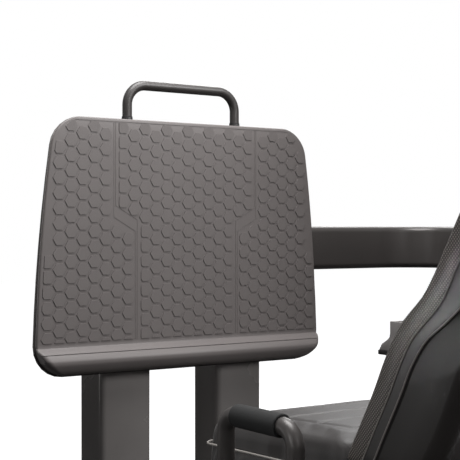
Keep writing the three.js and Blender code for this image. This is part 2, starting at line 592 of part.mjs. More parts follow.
// ---------------------------------------------------------------- carriage and seat
function buildCarriage() {
  const { front, back, deck, deckTop, top, anchor } = CARRIAGE;
  const half = CARRIAGE.width / 2;
  const block = (low, high) => {
    const centre = middle(low, high);
    return moved(barGeometry('y', low, high, 2), centre.x, centre.y, centre.z);
  };
  const ribs = [-1, 1].map((s) => block(
    [s * 70 - 10, back, deckTop - 2], [s * 70 + 10, front, top]));
  const tab = block([-12, anchor - 10, CABLE.z - 12], [12, anchor + 10, deck + 2]);
  const cheekShape = new THREE.Shape();
  cheekShape.moveTo(back + 40, deck);
  cheekShape.lineTo(back + 60, top);
  cheekShape.lineTo(PIVOT.y + 26, PIVOT.z + 15);
  cheekShape.absarc(PIVOT.y, PIVOT.z, 30, Math.PI / 6, Math.PI * 1.1);
  cheekShape.lineTo(back - 10, deck);
  const cheeks = [-1, 1].map((s) =>
    moved(prism(cheekShape, PIVOT.cheek, 'x'), s * (PIVOT.cheekX + PIVOT.cheek / 2), 0, 0));
  const pivotBore = moved(round(PIVOT.radius + 0.8, 400, 'x'), 0, PIVOT.y, PIVOT.z);
  const plate = block([-half, back - 5, deck], [half, front, deckTop]);
  add(carriage, 'carriage_frame', cut(join(plate, ...ribs, tab, ...cheeks), pivotBore), framePaint());

  for (const [name, side] of [['left_bearing', -1], ['right_bearing', 1]]) {
    const low = [-30, back + 5, RAIL.z - 30];
    const high = [30, front - 5, deck - GAP];
    const housing = barGeometry('y', low, high, 8);
    const centre = middle(low, high);
    const bore = moved(round(RAIL.radius + 1, 400, 'y'), 0, 0, RAIL.z - centre.z);
    add(carriage, name, cut(housing, bore), nylon(), at(side * RAIL.x, centre.y, centre.z));
  }

  addBar(carriage, 'seat_pan', 'z', [-PAN.halfWidth, PAN.back, PAN.low],
    [PAN.halfWidth, PAN.front, PAN.high], 30, framePaint());
  const cushion = new THREE.Shape();
  const low = PAN.high + GAP;
  cushion.moveTo(CUSHION.back, low);
  cushion.lineTo(CUSHION.front - 10, low);
  cushion.quadraticCurveTo(CUSHION.front, low, CUSHION.front, low + 20);
  cushion.lineTo(CUSHION.front, CUSHION.frontTop - CUSHION.corner);
  cushion.quadraticCurveTo(CUSHION.front, CUSHION.frontTop,
    CUSHION.front - 2 * CUSHION.corner, CUSHION.frontTop);
  cushion.lineTo(CUSHION.back + CUSHION.corner, CUSHION.backTop);
  cushion.quadraticCurveTo(CUSHION.back, CUSHION.backTop, CUSHION.back, CUSHION.backTop - 20);
  add(carriage, 'seat_cushion', prism(cushion, 2 * CUSHION.halfWidth, 'x'), upholstery());

  const gripZ = (PAN.low + PAN.high) / 2;
  for (const [name, side] of [['left_seat_handle', -1], ['right_seat_handle', 1]]) {
    const rootX = side * (PAN.halfWidth + GAP);
    const gripX = side * GRIP.x;
    const route = new Route([
      [rootX, GRIP.back, gripZ], [gripX, GRIP.back, gripZ], [gripX, GRIP.back, GRIP.top],
      [gripX, GRIP.front, GRIP.top], [gripX, GRIP.front, gripZ], [rootX, GRIP.front, gripZ],
    ], [20, GRIP.bend, GRIP.bend, 20], 5);
    add(carriage, name, tube(GRIP.radius, route, 10), framePaint());
  }
}

// ---------------------------------------------------------------- reclining back
// A point at a distance and angle from the recline pivot, the angle growing from straight back
const fromPivot = (radius, angle) =>
  [PIVOT.y - radius * Math.cos(angle), PIVOT.z + radius * Math.sin(angle)];

function buildSector() {
  // A plate on the carriage's right cheek whose curved slot the clamp bolt follows
  const from = Math.PI - SLOT.rest - SLOT.spare;
  const to = Math.PI - SLOT.rest + SLOT.travel + SLOT.spare;
  const shape = new THREE.Shape();
  shape.moveTo(PIVOT.y + 20, PIVOT.z + 26);
  shape.absarc(PIVOT.y, PIVOT.z, SLOT.radius + 22, from - SLOT.rim, to + SLOT.rim, false);
  shape.lineTo(PIVOT.y + 20, PIVOT.z - 26);
  const slot = new THREE.Path();
  const half = SLOT.width / 2;
  slot.absarc(PIVOT.y, PIVOT.z, SLOT.radius + half, from, to, false);
  slot.absarc(PIVOT.y, PIVOT.z, SLOT.radius - half, to, from, true);
  shape.holes.push(slot);
  const bore = moved(round(PIVOT.radius + 1, 20, 'x'), 0, PIVOT.y, PIVOT.z);
  const plate = cut(prism(shape, 6, 'x', 10), bore);
  const x = PIVOT.cheekX + PIVOT.cheek + GAP + 3;
  add(carriage, 'recline_sector', plate, brightSteel(), at(x, 0, 0));
}

const LUG = { x: 107, thick: 8 };
const HUB = { radius: 24, spare: 3 };
const CROSS_TUBE = { y: -1026, z: 520, radius: 12, from: -44 };
const STUD = { radius: 6, length: 34 };
const LEVER = { shaft: 11, reach: 262, length: 120, halfWide: 7, halfDeep: 11, knobUp: 130, bore: 6.8 };
// The back's side line in (Y, Z): a lower part, a step back at the waist, then a straight upper part
const BACK_LINE = [[-783, 425], [-845, 535], [-905, 638], [-931, 661], [-964, 704], [-1005, 776]];
const SHELL_LINE = [[-1284, 1130], [-1278, 1080], [-1190, 880], [-958, 436], [-940, 425]];
// The arm lies along the shell's back between these heights
const ARM = { width: 100, low: [-967, 440], high: [-1177, 842], thick: 25 };

function buildBackrest() {
  const axleLength = 2 * (LUG.x + LUG.thick + 1);
  add(carriage, 'recline_axle', round(PIVOT.radius, axleLength, 'x'), brightSteel(),
    at(0, PIVOT.y, PIVOT.z));

  // The frame: a hub on the axle, an arm up the shell's back, and a lug beside the sector
  const hub = moved(round(HUB.radius, 2 * (PIVOT.cheekX - HUB.spare), 'x'), 0, PIVOT.y, PIVOT.z);
  const below = HUB.radius * 0.7;
  const arm = prism(polygon([
    [PIVOT.y + 12, PIVOT.z - 18], [PIVOT.y - 20, PIVOT.z - below],
    [ARM.low[0] - ARM.thick, ARM.low[1]], [ARM.high[0] - ARM.thick, ARM.high[1]], ARM.high, ARM.low,
    [PIVOT.y - 18, PIVOT.z + below], [PIVOT.y, PIVOT.z + HUB.radius - 2],
  ]), ARM.width, 'x');
  const bolt = fromPivot(SLOT.radius, SLOT.rest);
  const crossTo = LUG.x + LUG.thick / 2;
  const cross = moved(round(CROSS_TUBE.radius, crossTo - CROSS_TUBE.from, 'x'),
    (crossTo + CROSS_TUBE.from) / 2, CROSS_TUBE.y, CROSS_TUBE.z);
  const lug = moved(prism(polygon([
    [CROSS_TUBE.y - 16, CROSS_TUBE.z + 12], [CROSS_TUBE.y + 12, CROSS_TUBE.z + 12],
    [bolt[0] + 17, bolt[1] - 15], [bolt[0] - 17, bolt[1] - 15],
  ]), LUG.thick, 'x'), LUG.x, 0, 0);
  const stud = moved(round(STUD.radius, STUD.length, 'x'), LUG.x - 1, ...bolt);
  const bore = moved(round(PIVOT.radius + 0.6, 400, 'x'), 0, PIVOT.y, PIVOT.z);
  add(backrest, 'backrest_frame', cut(join(hub, arm, cross, lug, stud), bore), framePaint());

  // The clamp lever turns on the stud's outer end
  const { reach, length, halfWide, halfDeep } = LEVER;
  const leverX = crossTo + GAP;
  const shaft = moved(round(LEVER.shaft, reach - leverX, 'x'), (reach + leverX) / 2, ...bolt);
  const handleX = reach - halfWide - 1;
  const handle = moved(barGeometry('z', [-halfWide, -halfDeep, 0], [halfWide, halfDeep, length], 5),
    handleX, bolt[0], bolt[1] + length / 2);
  const knob = moved(ring([[0, -30], [14, -28], [18, 0], [16, 26], [0, 30]], 'z'),
    handleX, bolt[0], bolt[1] + LEVER.knobUp);
  const socket = moved(round(LEVER.bore, 40, 'x'), leverX + 10, ...bolt);
  add(backrest, 'recline_lever', cut(join(shaft, handle, knob), socket), nylon());

  // Pad and shell share one side line and one outline from the front
  const top = BACK.highZ;
  const [lastY, lastZ] = BACK_LINE[BACK_LINE.length - 1];
  const front = [...BACK_LINE, [lastY - (top - lastZ) * Math.tan(BACK.lean), top]];
  const shifted = (dy) => front.map(([y, z]) => [y + dy, z]);
  const width = 2 * BACK.halfWidth;
  const padSide = prism(polygon([...front, ...shifted(-BACK.pad).reverse()]), width, 'x');
  const shellSide = prism(polygon([...shifted(-BACK.pad - GAP), ...SHELL_LINE]), width, 'x');
  // The outline's foot corners fall below the back, so only its head is round
  const footZ = BACK.lowZ - BACK.corner;
  const face = roundedRectangle(width, top - footZ, BACK.corner);
  const outline = moved(prism(face, 1200, 'y', 4), 0, PIVOT.y, (top + footZ) / 2);
  add(backrest, 'backrest_pad', overlap(padSide, outline), upholstery());
  add(backrest, 'backrest_shell', overlap(shellSide, outline), shellPlastic());
}

buildBase();
buildFootplate();
buildPosts();
buildRails();
buildTowerFrame();
buildStack();
buildCableDrive();
buildTray();
buildCarriage();
buildSector();
buildBackrest();

// The finished machine stands over its own middle
const extent = new THREE.Box3().setFromObject(machine);
const centre = extent.getCenter(new THREE.Vector3());
machine.position.set(-centre.x, -centre.y, 0);

export default machine;
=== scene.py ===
"""Looks of the leg press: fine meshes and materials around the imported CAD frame."""

import json
import math

import bmesh
import bpy
import numpy as np
from mathutils import Matrix, Vector
from mathutils.geometry import tessellate_polygon


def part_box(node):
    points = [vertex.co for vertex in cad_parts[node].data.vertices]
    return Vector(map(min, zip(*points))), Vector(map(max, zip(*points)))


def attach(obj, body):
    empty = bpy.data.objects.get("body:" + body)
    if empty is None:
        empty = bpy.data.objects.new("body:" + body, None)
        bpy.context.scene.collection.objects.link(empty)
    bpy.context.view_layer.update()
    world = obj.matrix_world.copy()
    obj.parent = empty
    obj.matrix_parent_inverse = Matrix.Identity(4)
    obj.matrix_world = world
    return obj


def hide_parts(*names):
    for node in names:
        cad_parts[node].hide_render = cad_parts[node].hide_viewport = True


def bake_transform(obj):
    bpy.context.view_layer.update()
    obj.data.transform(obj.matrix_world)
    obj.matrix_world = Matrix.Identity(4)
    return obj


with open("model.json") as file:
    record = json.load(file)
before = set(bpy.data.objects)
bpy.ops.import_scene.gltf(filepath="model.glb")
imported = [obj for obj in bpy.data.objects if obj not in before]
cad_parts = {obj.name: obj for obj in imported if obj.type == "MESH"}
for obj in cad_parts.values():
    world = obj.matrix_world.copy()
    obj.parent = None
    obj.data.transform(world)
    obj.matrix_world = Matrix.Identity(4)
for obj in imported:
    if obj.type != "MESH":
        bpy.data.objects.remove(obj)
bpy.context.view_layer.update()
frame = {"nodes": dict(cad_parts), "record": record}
MM = 0.001

# ---------------- the layout the CAD was drawn in
# Layout millimetres: X = 0 mid footplate, Y = 0 its cover's front face, Z = 0 the floor.
# Sizes and places below are in these millimetres wherever a comment says nothing else.
BACKING_FRONT = 6.3
backing_low, backing_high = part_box("footplate_backing")
SHIFT = Vector((
    (backing_low.x + backing_high.x) / 2,
    backing_low.y - BACKING_FRONT * MM,
    0.0,
))


def at(x, y, z):
    """A layout point, in millimetres, as a place in the frame, in metres."""
    return Vector((x * MM, y * MM, z * MM)) + SHIFT


# ---------------- curves
def lerp(a, b, t):
    return a + (b - a) * t


def gaussian(distance, width):
    return math.exp(-(distance / width) ** 2)


def smoothstep(low, high, value):
    t = min(max((value - low) / (high - low), 0.0), 1.0)
    return t * t * (3 - 2 * t)


def curve_through(knots):
    """A smooth function through (input, output) knots, without overshoot between them."""
    xs = [k[0] for k in knots]
    ys = [k[1] for k in knots]
    steps = [(ys[i + 1] - ys[i]) / (xs[i + 1] - xs[i]) for i in range(len(xs) - 1)]
    slopes = [steps[0]]
    for a, b in zip(steps, steps[1:]):
        slopes.append(0.0 if a * b <= 0 else 2 * a * b / (a + b))
    slopes.append(steps[-1])

    def value(x):
        i = 0
        while i < len(xs) - 2 and x > xs[i + 1]:
            i += 1
        width = xs[i + 1] - xs[i]
        t = min(max((x - xs[i]) / width, 0.0), 1.0)
        h00 = (1 + 2 * t) * (1 - t) ** 2
        h10 = t * (1 - t) ** 2
        h01 = t * t * (3 - 2 * t)
        h11 = t * t * (t - 1)
        return h00 * ys[i] + h10 * width * slopes[i] + h01 * ys[i + 1] + h11 * width * slopes[i + 1]

    return value


def bezier(a, b, c, d, t):
    s = 1 - t
    return s ** 3 * a + 3 * s * s * t * b + 3 * s * t * t * c + t ** 3 * d


def quarter(steps, first=0):
    """Angles over a quarter turn, from its start, or from a later step, to its end."""
    return [math.pi / 2 * k / steps for k in range(first, steps + 1)]


def route(corners, radii, steps):
    """Points along straight runs with a round bend at each inner corner."""
    points = [Vector(corners[0])]
    inner = list(zip(corners, corners[1:], corners[2:]))
    for (before, corner, after), radius in zip(inner, radii):
        into = (Vector(corner) - Vector(before)).normalized()
        out = (Vector(after) - Vector(corner)).normalized()
        turn = into.angle(out)
        cut = radius * math.tan(turn / 2)
        inward = (out - into * into.dot(out)).normalized()
        start = Vector(corner) - into * cut
        centre = start + inward * radius
        for k in range(steps + 1):
            angle = turn * k / steps
            points.append(centre - inward * radius * math.cos(angle) + into * radius * math.sin(angle))
    points.append(Vector(corners[-1]))
    return points


# ---------------- meshes
def show(obj):
    bpy.context.scene.collection.objects.link(obj)


def mount(name, mesh, material, body, replaces, angle):
    """Makes a mesh a piece that rides on a body, if any, with sharp edges over an angle in degrees."""
    mesh.shade_smooth()
    mesh.set_sharp_from_angle(angle=math.radians(angle))
    mesh.materials.append(material)
    obj = bpy.data.objects.new(name, mesh)
    show(obj)
    if body:
        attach(obj, body)
    if replaces:
        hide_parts(*replaces)
    return obj


# Points closer than this, in metres, become one
WELD = 1e-6


def piece(name, verts, faces, material, body, slot, replaces=(), angle=35):
    """A mounted piece from vertices and faces."""
    mesh = bpy.data.meshes.new(name)
    mesh.from_pydata([tuple(v) for v in verts], [], faces)
    mesh.validate()
    shaper = bmesh.new()
    shaper.from_mesh(mesh)
    bmesh.ops.remove_doubles(shaper, verts=shaper.verts, dist=WELD)
    bmesh.ops.recalc_face_normals(shaper, faces=shaper.faces)
    shaper.to_mesh(mesh)
    shaper.free()
    return mount(name, mesh, material, body, replaces, angle)


def loft(rings, caps=True):
    """Vertices and faces of a skin over closed rings that all have the same number of points."""
    count = len(rings[0])
    verts = [v for ring in rings for v in ring]
    faces = []
    for level in range(len(rings) - 1):
        low = level * count
        high = low + count
        for i in range(count):
            j = (i + 1) % count
            faces.append((low + i, low + j, high + j, high + i))
    if caps:
        faces.append(tuple(reversed(range(count))))
        faces.append(tuple(range(len(verts) - count, len(verts))))
    return verts, faces


def swept(section, points):
    """Vertices and faces of a section, in (across, up) pairs in metres, carried along points."""
    tangents = []
    for i in range(len(points)):
        ahead = points[min(i + 1, len(points) - 1)]
        behind = points[max(i - 1, 0)]
        tangents.append((ahead - behind).normalized())
    upright = abs(tangents[0].z) >= 0.9
    up = Vector((0, 1, 0)) if upright else Vector((0, 0, 1))
    rings = []
    for point, tangent in zip(points, tangents):
        up = (up - tangent * up.dot(tangent)).normalized()
        across = tangent.cross(up)
        rings.append([point + across * a + up * b for a, b in section])
    return loft(rings)


def circle(radius, sides=24):
    return [
        (radius * math.cos(2 * math.pi * i / sides), radius * math.sin(2 * math.pi * i / sides))
        for i in range(sides)
    ]


def rounded_rectangle(width, height, corner, steps=6):
    points = []
    x, y = width / 2 - corner, height / 2 - corner
    for cx, cy, start in ((x, y, 0), (-x, y, 90), (-x, -y, 180), (x, -y, 270)):
        for k in range(steps + 1):
            angle = math.radians(start + 90 * k / steps)
            points.append((cx + corner * math.cos(angle), cy + corner * math.sin(angle)))
    return points


# Turns from a section's (a, b) plane and its height to an axis of the frame
AXES = {
    "x": Matrix(((0, 0, 1), (1, 0, 0), (0, 1, 0))),
    "y": Matrix(((1, 0, 0), (0, 0, -1), (0, 1, 0))),
    "z": Matrix.Identity(3),
}


# The radius that a turned shape's point gets, and how round a cap's ends are
POINT = 0.01
CAP_EDGE = 2


def turned(profile, centre, axis, sides=32, flip=1):
    """A turned shape: profile is (radius, height) pairs along the axis, or against it with flip -1."""
    turn = AXES[axis]
    rings = []
    for radius, height in profile:
        rings.append([
            centre + turn @ Vector((a * MM, b * MM, flip * height * MM))
            for a, b in circle(max(radius, POINT), sides)
        ])
    return loft(rings)


def end_cap(centre, size, corner):
    """A cap along X over a tube's end, with round corners and softened ends."""
    width, height, length = size
    half = length / 2
    levels = []
    for angle in quarter(4):
        draw = CAP_EDGE * (1 - math.sin(angle))
        levels.append((-half + CAP_EDGE * (1 - math.cos(angle)), draw))
    levels += [(-z, draw) for z, draw in reversed(levels)]
    rings = []
    for z, draw in levels:
        outline = rounded_rectangle(width - 2 * draw, height - 2 * draw, corner - draw)
        rings.append([centre + AXES["x"] @ Vector((a * MM, b * MM, z * MM)) for a, b in outline])
    return loft(rings)


def merged(*parts):
    verts = []
    faces = []
    for more_verts, more_faces in parts:
        base = len(verts)
        verts += list(more_verts)
        faces += [tuple(base + i for i in face) for face in more_faces]
    return verts, faces


# ---------------- materials
def link(tree, source, output, target, entry):
    tree.links.new(source.outputs[output], target.inputs[entry])


def fill_in(made, **values):
    """Sets a node's own properties, or its inputs with _ for a space in their names."""
    for key, value in values.items():
        if hasattr(made, key):
            setattr(made, key, value)
        else:
            made.inputs[key.replace("_", " ")].default_value = value


def node(tree, kind, **values):
    made = tree.nodes.new("ShaderNode" + kind)
    fill_in(made, **values)
    return made


def either(tree, seen, ray, usual, special):
    """A shader that is the special one for one kind of ray, and the usual one for all others."""
    choice = node(tree, "MixShader")
    link(tree, seen, ray, choice, "Fac")
    tree.links.new(usual.outputs[0], choice.inputs[1])
    tree.links.new(special.outputs[0], choice.inputs[2])
    return choice


# The relief, in metres, that a bump of strength 1 stands for
GRAIN_RELIEF = 0.001
DOT_RELIEF = 0.0006
DOT_LIFT = 0.35
# Half the width of a dot's soft rim, against the distance between dots
DOT_RIM = 0.12
COAT_ROUGHNESS = 0.25


def surface(name, color, rough, metal=0.0, mottle=0.06, grain=(900, 0.06), cloud=12, rough_play=0.06,
            coat=0.0, sheen=0.0):
    """A finish whose colour and gloss vary softly, with a fine grain of (scale, strength), all from noise."""
    made = bpy.data.materials.new(name)
    made.use_nodes = True
    tree = made.node_tree
    shader = tree.nodes["Principled BSDF"]
    fill_in(shader, Metallic=metal, Coat_Weight=coat, Coat_Roughness=COAT_ROUGHNESS, Sheen_Weight=sheen)
    place = node(tree, "TexCoord")
    clouds = node(tree, "TexNoise", Scale=cloud, Detail=4.0)
    link(tree, place, "Object", clouds, "Vector")
    tint = node(tree, "ValToRGB")
    for stop, factor in ((0, 1 - mottle), (1, 1 + mottle)):
        tint.color_ramp.elements[stop].color = (*[c * factor for c in color], 1)
    tint.color_ramp.elements[0].position = 0.3
    tint.color_ramp.elements[1].position = 0.7
    link(tree, clouds, "Fac", tint, "Fac")
    link(tree, tint, "Color", shader, "Base Color")
    gloss = node(tree, "MapRange", To_Min=rough - rough_play, To_Max=rough + rough_play)
    link(tree, clouds, "Fac", gloss, "Value")
    link(tree, gloss, "Result", shader, "Roughness")
    fine = node(tree, "TexNoise", Scale=grain[0], Detail=2.0)
    link(tree, place, "Object", fine, "Vector")
    bump = node(tree, "Bump", Strength=grain[1], Distance=GRAIN_RELIEF)
    link(tree, fine, "Fac", bump, "Height")
    link(tree, bump, "Normal", shader, "Normal")
    return made


def dotted(name, base, dot, rough, pitch, lean, radius):
    """Coated fabric with rows of small dots over its (Y, Z) side, a pitch in metres apart."""
    made = surface(name, base, rough, mottle=0.08, grain=(1500, 0.05))
    tree = made.node_tree
    shader = tree.nodes["Principled BSDF"]
    place = node(tree, "TexCoord")
    scale = 1 / pitch
    turn = node(tree, "Mapping", Rotation=(lean, 0.0, 0.0), Scale=(0.0, scale, scale))
    link(tree, place, "Object", turn, "Vector")
    cells = node(tree, "TexVoronoi", feature="F1", Scale=1.0, Randomness=0.0)
    link(tree, turn, "Vector", cells, "Vector")
    spot = node(tree, "MapRange", interpolation_type="SMOOTHSTEP", From_Min=radius + DOT_RIM,
                From_Max=radius - DOT_RIM)
    link(tree, cells, "Distance", spot, "Value")
    blend = node(tree, "Mix", data_type="RGBA")
    ground = shader.inputs["Base Color"].links[0].from_socket
    link(tree, spot, "Result", blend, "Factor")
    # The colour mix's own sockets: its two inputs are 6 and 7, its result is output 2
    tree.links.new(ground, blend.inputs[6])
    blend.inputs[7].default_value = (*dot, 1)
    tree.links.new(blend.outputs[2], shader.inputs["Base Color"])
    bump = node(tree, "Bump", Strength=DOT_LIFT, Distance=DOT_RELIEF)
    link(tree, spot, "Result", bump, "Height")
    link(tree, bump, "Normal", shader, "Normal")
    return made


PAINT_GRAIN = (1400, 0.05)
COVER_GRAIN = (1900, 0.10)
PAINT = surface("frame_paint", (0.083, 0.075, 0.072), 0.4, metal=0.25, grain=PAINT_GRAIN, cloud=6, coat=0.15)
POST_PAINT = surface(
    "post_paint", (0.235, 0.22, 0.213), 0.27, metal=0.2, grain=PAINT_GRAIN, cloud=6, coat=0.1)
HANDLE_PAINT = surface(
    "handle_paint", (0.05, 0.045, 0.043), 0.45, metal=0.1, grain=PAINT_GRAIN, cloud=6, coat=0.2)
COVER = surface("plate_cover", (0.161, 0.144, 0.14), 0.5, mottle=0.03, grain=COVER_GRAIN, cloud=5)
# A lighter copy of the cover's colour: a painted highlight for the cover's side edges
COVER_EDGE_HIGHLIGHT = surface("plate_cover_painted_edge_highlight", (0.36, 0.335, 0.325), 0.42, mottle=0.05, grain=COVER_GRAIN, cloud=5)
RUBBER = surface("black_rubber", (0.014, 0.013, 0.013), 0.8, grain=(700, 0.12))
STEEL = surface(
    "bright_steel", (0.62, 0.63, 0.64), 0.2, metal=1.0, mottle=0.03, grain=(2500, 0.03), rough_play=0.05)
IRON = surface("stack_steel", (0.03, 0.03, 0.031), 0.42, metal=0.4, mottle=0.15, grain=(500, 0.18))
NYLON = surface("black_nylon", (0.022, 0.021, 0.021), 0.45, grain=(1200, 0.06))
TRAY_GREY = surface("tray_grey", (0.27, 0.255, 0.25), 0.45, mottle=0.03, grain=(1600, 0.06))
SHELL = surface("shell", (0.024, 0.0206, 0.0194), 0.36, mottle=0.05, grain=(1800, 0.05), cloud=8, coat=0.1)
# The ridge beads' light colour is a painted highlight along the shell's moulded ridges
SHELL_RIDGE_HIGHLIGHT = surface("shell_ridge_painted_highlight", (0.3, 0.272, 0.26), 0.4, grain=(2500, 0.05))
LEATHER = surface("upholstery", (0.035, 0.031, 0.03), 0.5, mottle=0.08, grain=(520, 0.3), cloud=9, sheen=0.1)
WEAVE = dotted(
    "side_weave", (0.052, 0.045, 0.04), (0.3, 0.268, 0.245), 0.3, pitch=0.0038, lean=math.radians(45),
    radius=0.28)
PIPING = surface("seam_piping", (0.3, 0.28, 0.262), 0.5, grain=(2500, 0.1))
FOAM = surface("foam_grip", (0.02, 0.02, 0.02), 0.85, grain=(400, 0.4))
CABLE = surface("coated_cable", (0.015, 0.015, 0.016), 0.35, grain=(900, 0.2))
ZINC = surface("zinc_screw", (0.35, 0.35, 0.36), 0.35, metal=1.0, grain=(1500, 0.08))


# ---------------- camera, floor and light
EYE = at(-1283, -2045, 757)
HEADING = math.radians(34.2)
LENS = 90
SENSOR = 36
FAR = 60
SHIFT_UP = 0.0022
# Half the floor's side, in metres
FLOOR_REACH = 14
WHITE = (1, 1, 1, 1)
PALE_FLOOR = (0.5, 0.5, 0.5, 1)
DIM_FLOOR = (0.06, 0.06, 0.06, 1)


def build_camera():
    """A level camera behind the seat and to its left."""
    data = bpy.data.cameras.new("camera")
    data.lens = LENS
    data.sensor_width = SENSOR
    data.clip_end = FAR
    data.shift_y = SHIFT_UP
    camera = bpy.data.objects.new("camera", data)
    camera.location = EYE
    camera.rotation_euler = (math.pi / 2, 0, -HEADING)
    show(camera)
    bpy.context.scene.camera = camera


def build_floor():
    """A pale floor that looks white to the camera and sends little light back up."""
    material = bpy.data.materials.new("studio_floor")
    material.use_nodes = True
    tree = material.node_tree
    pale = tree.nodes["Principled BSDF"]
    fill_in(pale, Base_Color=PALE_FLOOR, Roughness=0.9, Emission_Color=WHITE, Emission_Strength=1.0)
    dim = node(tree, "BsdfDiffuse", Color=DIM_FLOOR)
    choice = either(tree, node(tree, "LightPath"), "Is Camera Ray", dim, pale)
    tree.links.new(choice.outputs[0], tree.nodes["Material Output"].inputs["Surface"])
    mesh = bpy.data.meshes.new("studio_floor")
    corners = [(FLOOR_REACH * x, FLOOR_REACH * y, 0) for x, y in ((-1, -1), (1, -1), (1, 1), (-1, 1))]
    mesh.from_pydata(corners, [], [(0, 1, 2, 3)])
    floor = bpy.data.objects.new("studio_floor", mesh)
    mesh.materials.append(material)
    show(floor)


def area_light(name, place, target, size, power, spread):
    """A rectangular lamp that the camera doesn't see, its size in metres and its spread in degrees."""
    data = bpy.data.lights.new(name, "AREA")
    data.shape = "RECTANGLE"
    data.size, data.size_y = size
    data.energy = power
    data.spread = math.radians(spread)
    lamp = bpy.data.objects.new(name, data)
    lamp.location = place
    lamp.visible_camera = False
    lamp.rotation_euler = (target - place).to_track_quat("-Z", "Y").to_euler()
    show(lamp)


# Name, place, target, size in metres, power in watts, spread in degrees
LAMPS = [
    ("overhead", (-100, -350, 2400), (-150, -200, 600), (1.2, 1.2), 50, 180),
    ("front_key", (3000, -4800, 4000), (-100, 0, 750), (2.2, 2.2), 240, 180),
    ("plate_sheen", (200, -2350, 1400), (-200, 0, 800), (0.7, 0.7), 12.5, 180),
    ("top_rim", (1600, 1600, 2200), (200, 140, 760), (1.4, 0.8), 25, 180),
    ("left_fill", (-2600, -1100, 1200), (-230, -1000, 700), (0.8, 0.8), 0.7, 38),
    ("waist_glint", (-2140, 890, 545), (-230, -962, 652), (0.05, 0.05), 0.005, 5),
    ("side_rim", (-2140, 1110, 430), (-230, -925, 640), (0.25, 0.6), 2.6, 180),
]
# How bright the sky is to the object, and in its reflections
SKY = 0.05
MIRRORED_SKY = 0.4


def build_light():
    """A white backdrop for the camera, a dim sky for the object, and soft lamps around it."""
    world = bpy.data.worlds.new("studio")
    bpy.context.scene.world = world
    world.use_nodes = True
    tree = world.node_tree
    backdrop = tree.nodes["Background"]
    fill_in(backdrop, Color=WHITE, Strength=1.0)
    sky = node(tree, "Background", Strength=SKY)
    mirrored_sky = node(tree, "Background", Strength=MIRRORED_SKY)
    seen = node(tree, "LightPath")
    gloss = either(tree, seen, "Is Glossy Ray", sky, mirrored_sky)
    choice = either(tree, seen, "Is Camera Ray", gloss, backdrop)
    tree.links.new(choice.outputs[0], tree.nodes["World Output"].inputs["Surface"])
    bpy.context.scene.view_settings.view_transform = "Standard"
    for name, place, target, size, power, spread in LAMPS:
        area_light(name, at(*place), at(*target), size, power, spread)


# ---------------- footplate
COVER_TOP = 984
COVER_FOOT = 474
COVER_BACK = 6
FOOT_HALF = 345
HEAD_HALF = 313.9
# The corners at the foot and the head, how far the head's narrows more, and the sides' curve
FOOT_CORNER = 62
HEAD_CORNER = 58
HEAD_TAPER = 8
SIDE_PULL_LOW = 3.8
SIDE_PULL_HIGH = 18.7
SIDE_LOW = COVER_FOOT + FOOT_CORNER
SIDE_HIGH = COVER_TOP - HEAD_CORNER
# How round the front's edge is at the head, at the sides, and at most at the lip's ends
HEAD_EDGE = 2.5
SIDE_EDGE = 5
LIP_EDGE = 15
# The lip's profile as (height, front) pairs, with a narrow groove, and more heights to cut it at
LIP_KNOTS = [
    (474, -4), (475.5, -10), (479, -15.6), (485, -20.4), (491, -23.4), (497, -25.2), (503, -25), (509, -22.2),
    (513, -19.4), (515.2, -17.4), (515.5, -15.2), (516.6, -14.2), (516.9, -16.2), (519, -13.4), (523, -7.6),
    (527, -1.6), (528, -0.6), (530, 0), (536, 0),
]
LIP_MORE_LEVELS = [499, 501, 506, 511, 521, 525, 476.5, 482, 488, 494]
LIP_TOP = LIP_KNOTS[-1][0]
lip_reach = curve_through(LIP_KNOTS)


def cover_half(z):
    """Half the cover's width at a height, in layout millimetres."""
    if z <= SIDE_LOW:
        drop = (SIDE_LOW - z) / FOOT_CORNER
        return FOOT_HALF - FOOT_CORNER + FOOT_CORNER * math.sqrt(max(1 - drop * drop, 0))
    if z <= SIDE_HIGH:
        t = (z - SIDE_LOW) / (SIDE_HIGH - SIDE_LOW)
        return bezier(FOOT_HALF, FOOT_HALF - SIDE_PULL_LOW, HEAD_HALF + SIDE_PULL_HIGH, HEAD_HALF, t)
    rise = (z - SIDE_HIGH) / HEAD_CORNER
    return HEAD_HALF - HEAD_TAPER * rise - HEAD_CORNER * (1 - math.sqrt(max(1 - rise * rise, 0)))


def cover_levels():
    """The heights that the cover's rings lie at, closer together where it curves."""
    levels = [z for z, _ in LIP_KNOTS if z < LIP_TOP]
    levels += LIP_MORE_LEVELS
    levels += list(np.linspace(LIP_TOP, SIDE_HIGH, 14))
    levels += [SIDE_HIGH + HEAD_CORNER * math.sin(angle) for angle in quarter(14, 1)[:-1]]
    levels += [COVER_TOP - HEAD_EDGE + HEAD_EDGE * math.sin(angle) for angle in quarter(5)]
    return sorted(set(round(z, 3) for z in levels))


def build_cover():
    """The moulded cover: a flat front over a rolled lip, with its sides' front edges rounded."""
    rings = []
    for z in cover_levels():
        front = lip_reach(z) if z < LIP_TOP else 0.0
        over = z - (COVER_TOP - HEAD_EDGE)
        if over > 0:
            front = HEAD_EDGE - math.sqrt(max(HEAD_EDGE * HEAD_EDGE - over * over, 0))
        half = cover_half(z)
        corner = max(SIDE_EDGE, min(-front * 0.7, LIP_EDGE))
        corner = min(corner, (COVER_BACK - front) * 0.9)
        ring = [at(half, COVER_BACK, z)]
        arc = [(corner * math.sin(angle), corner * math.cos(angle)) for angle in quarter(6)]
        ring += [at(half - corner + b, front + corner - a, z) for a, b in arc]
        ring += [at(-(half - corner + b), front + corner - a, z) for a, b in reversed(arc)]
        ring.append(at(-half, COVER_BACK, z))
        rings.append(ring)
    return loft(rings)


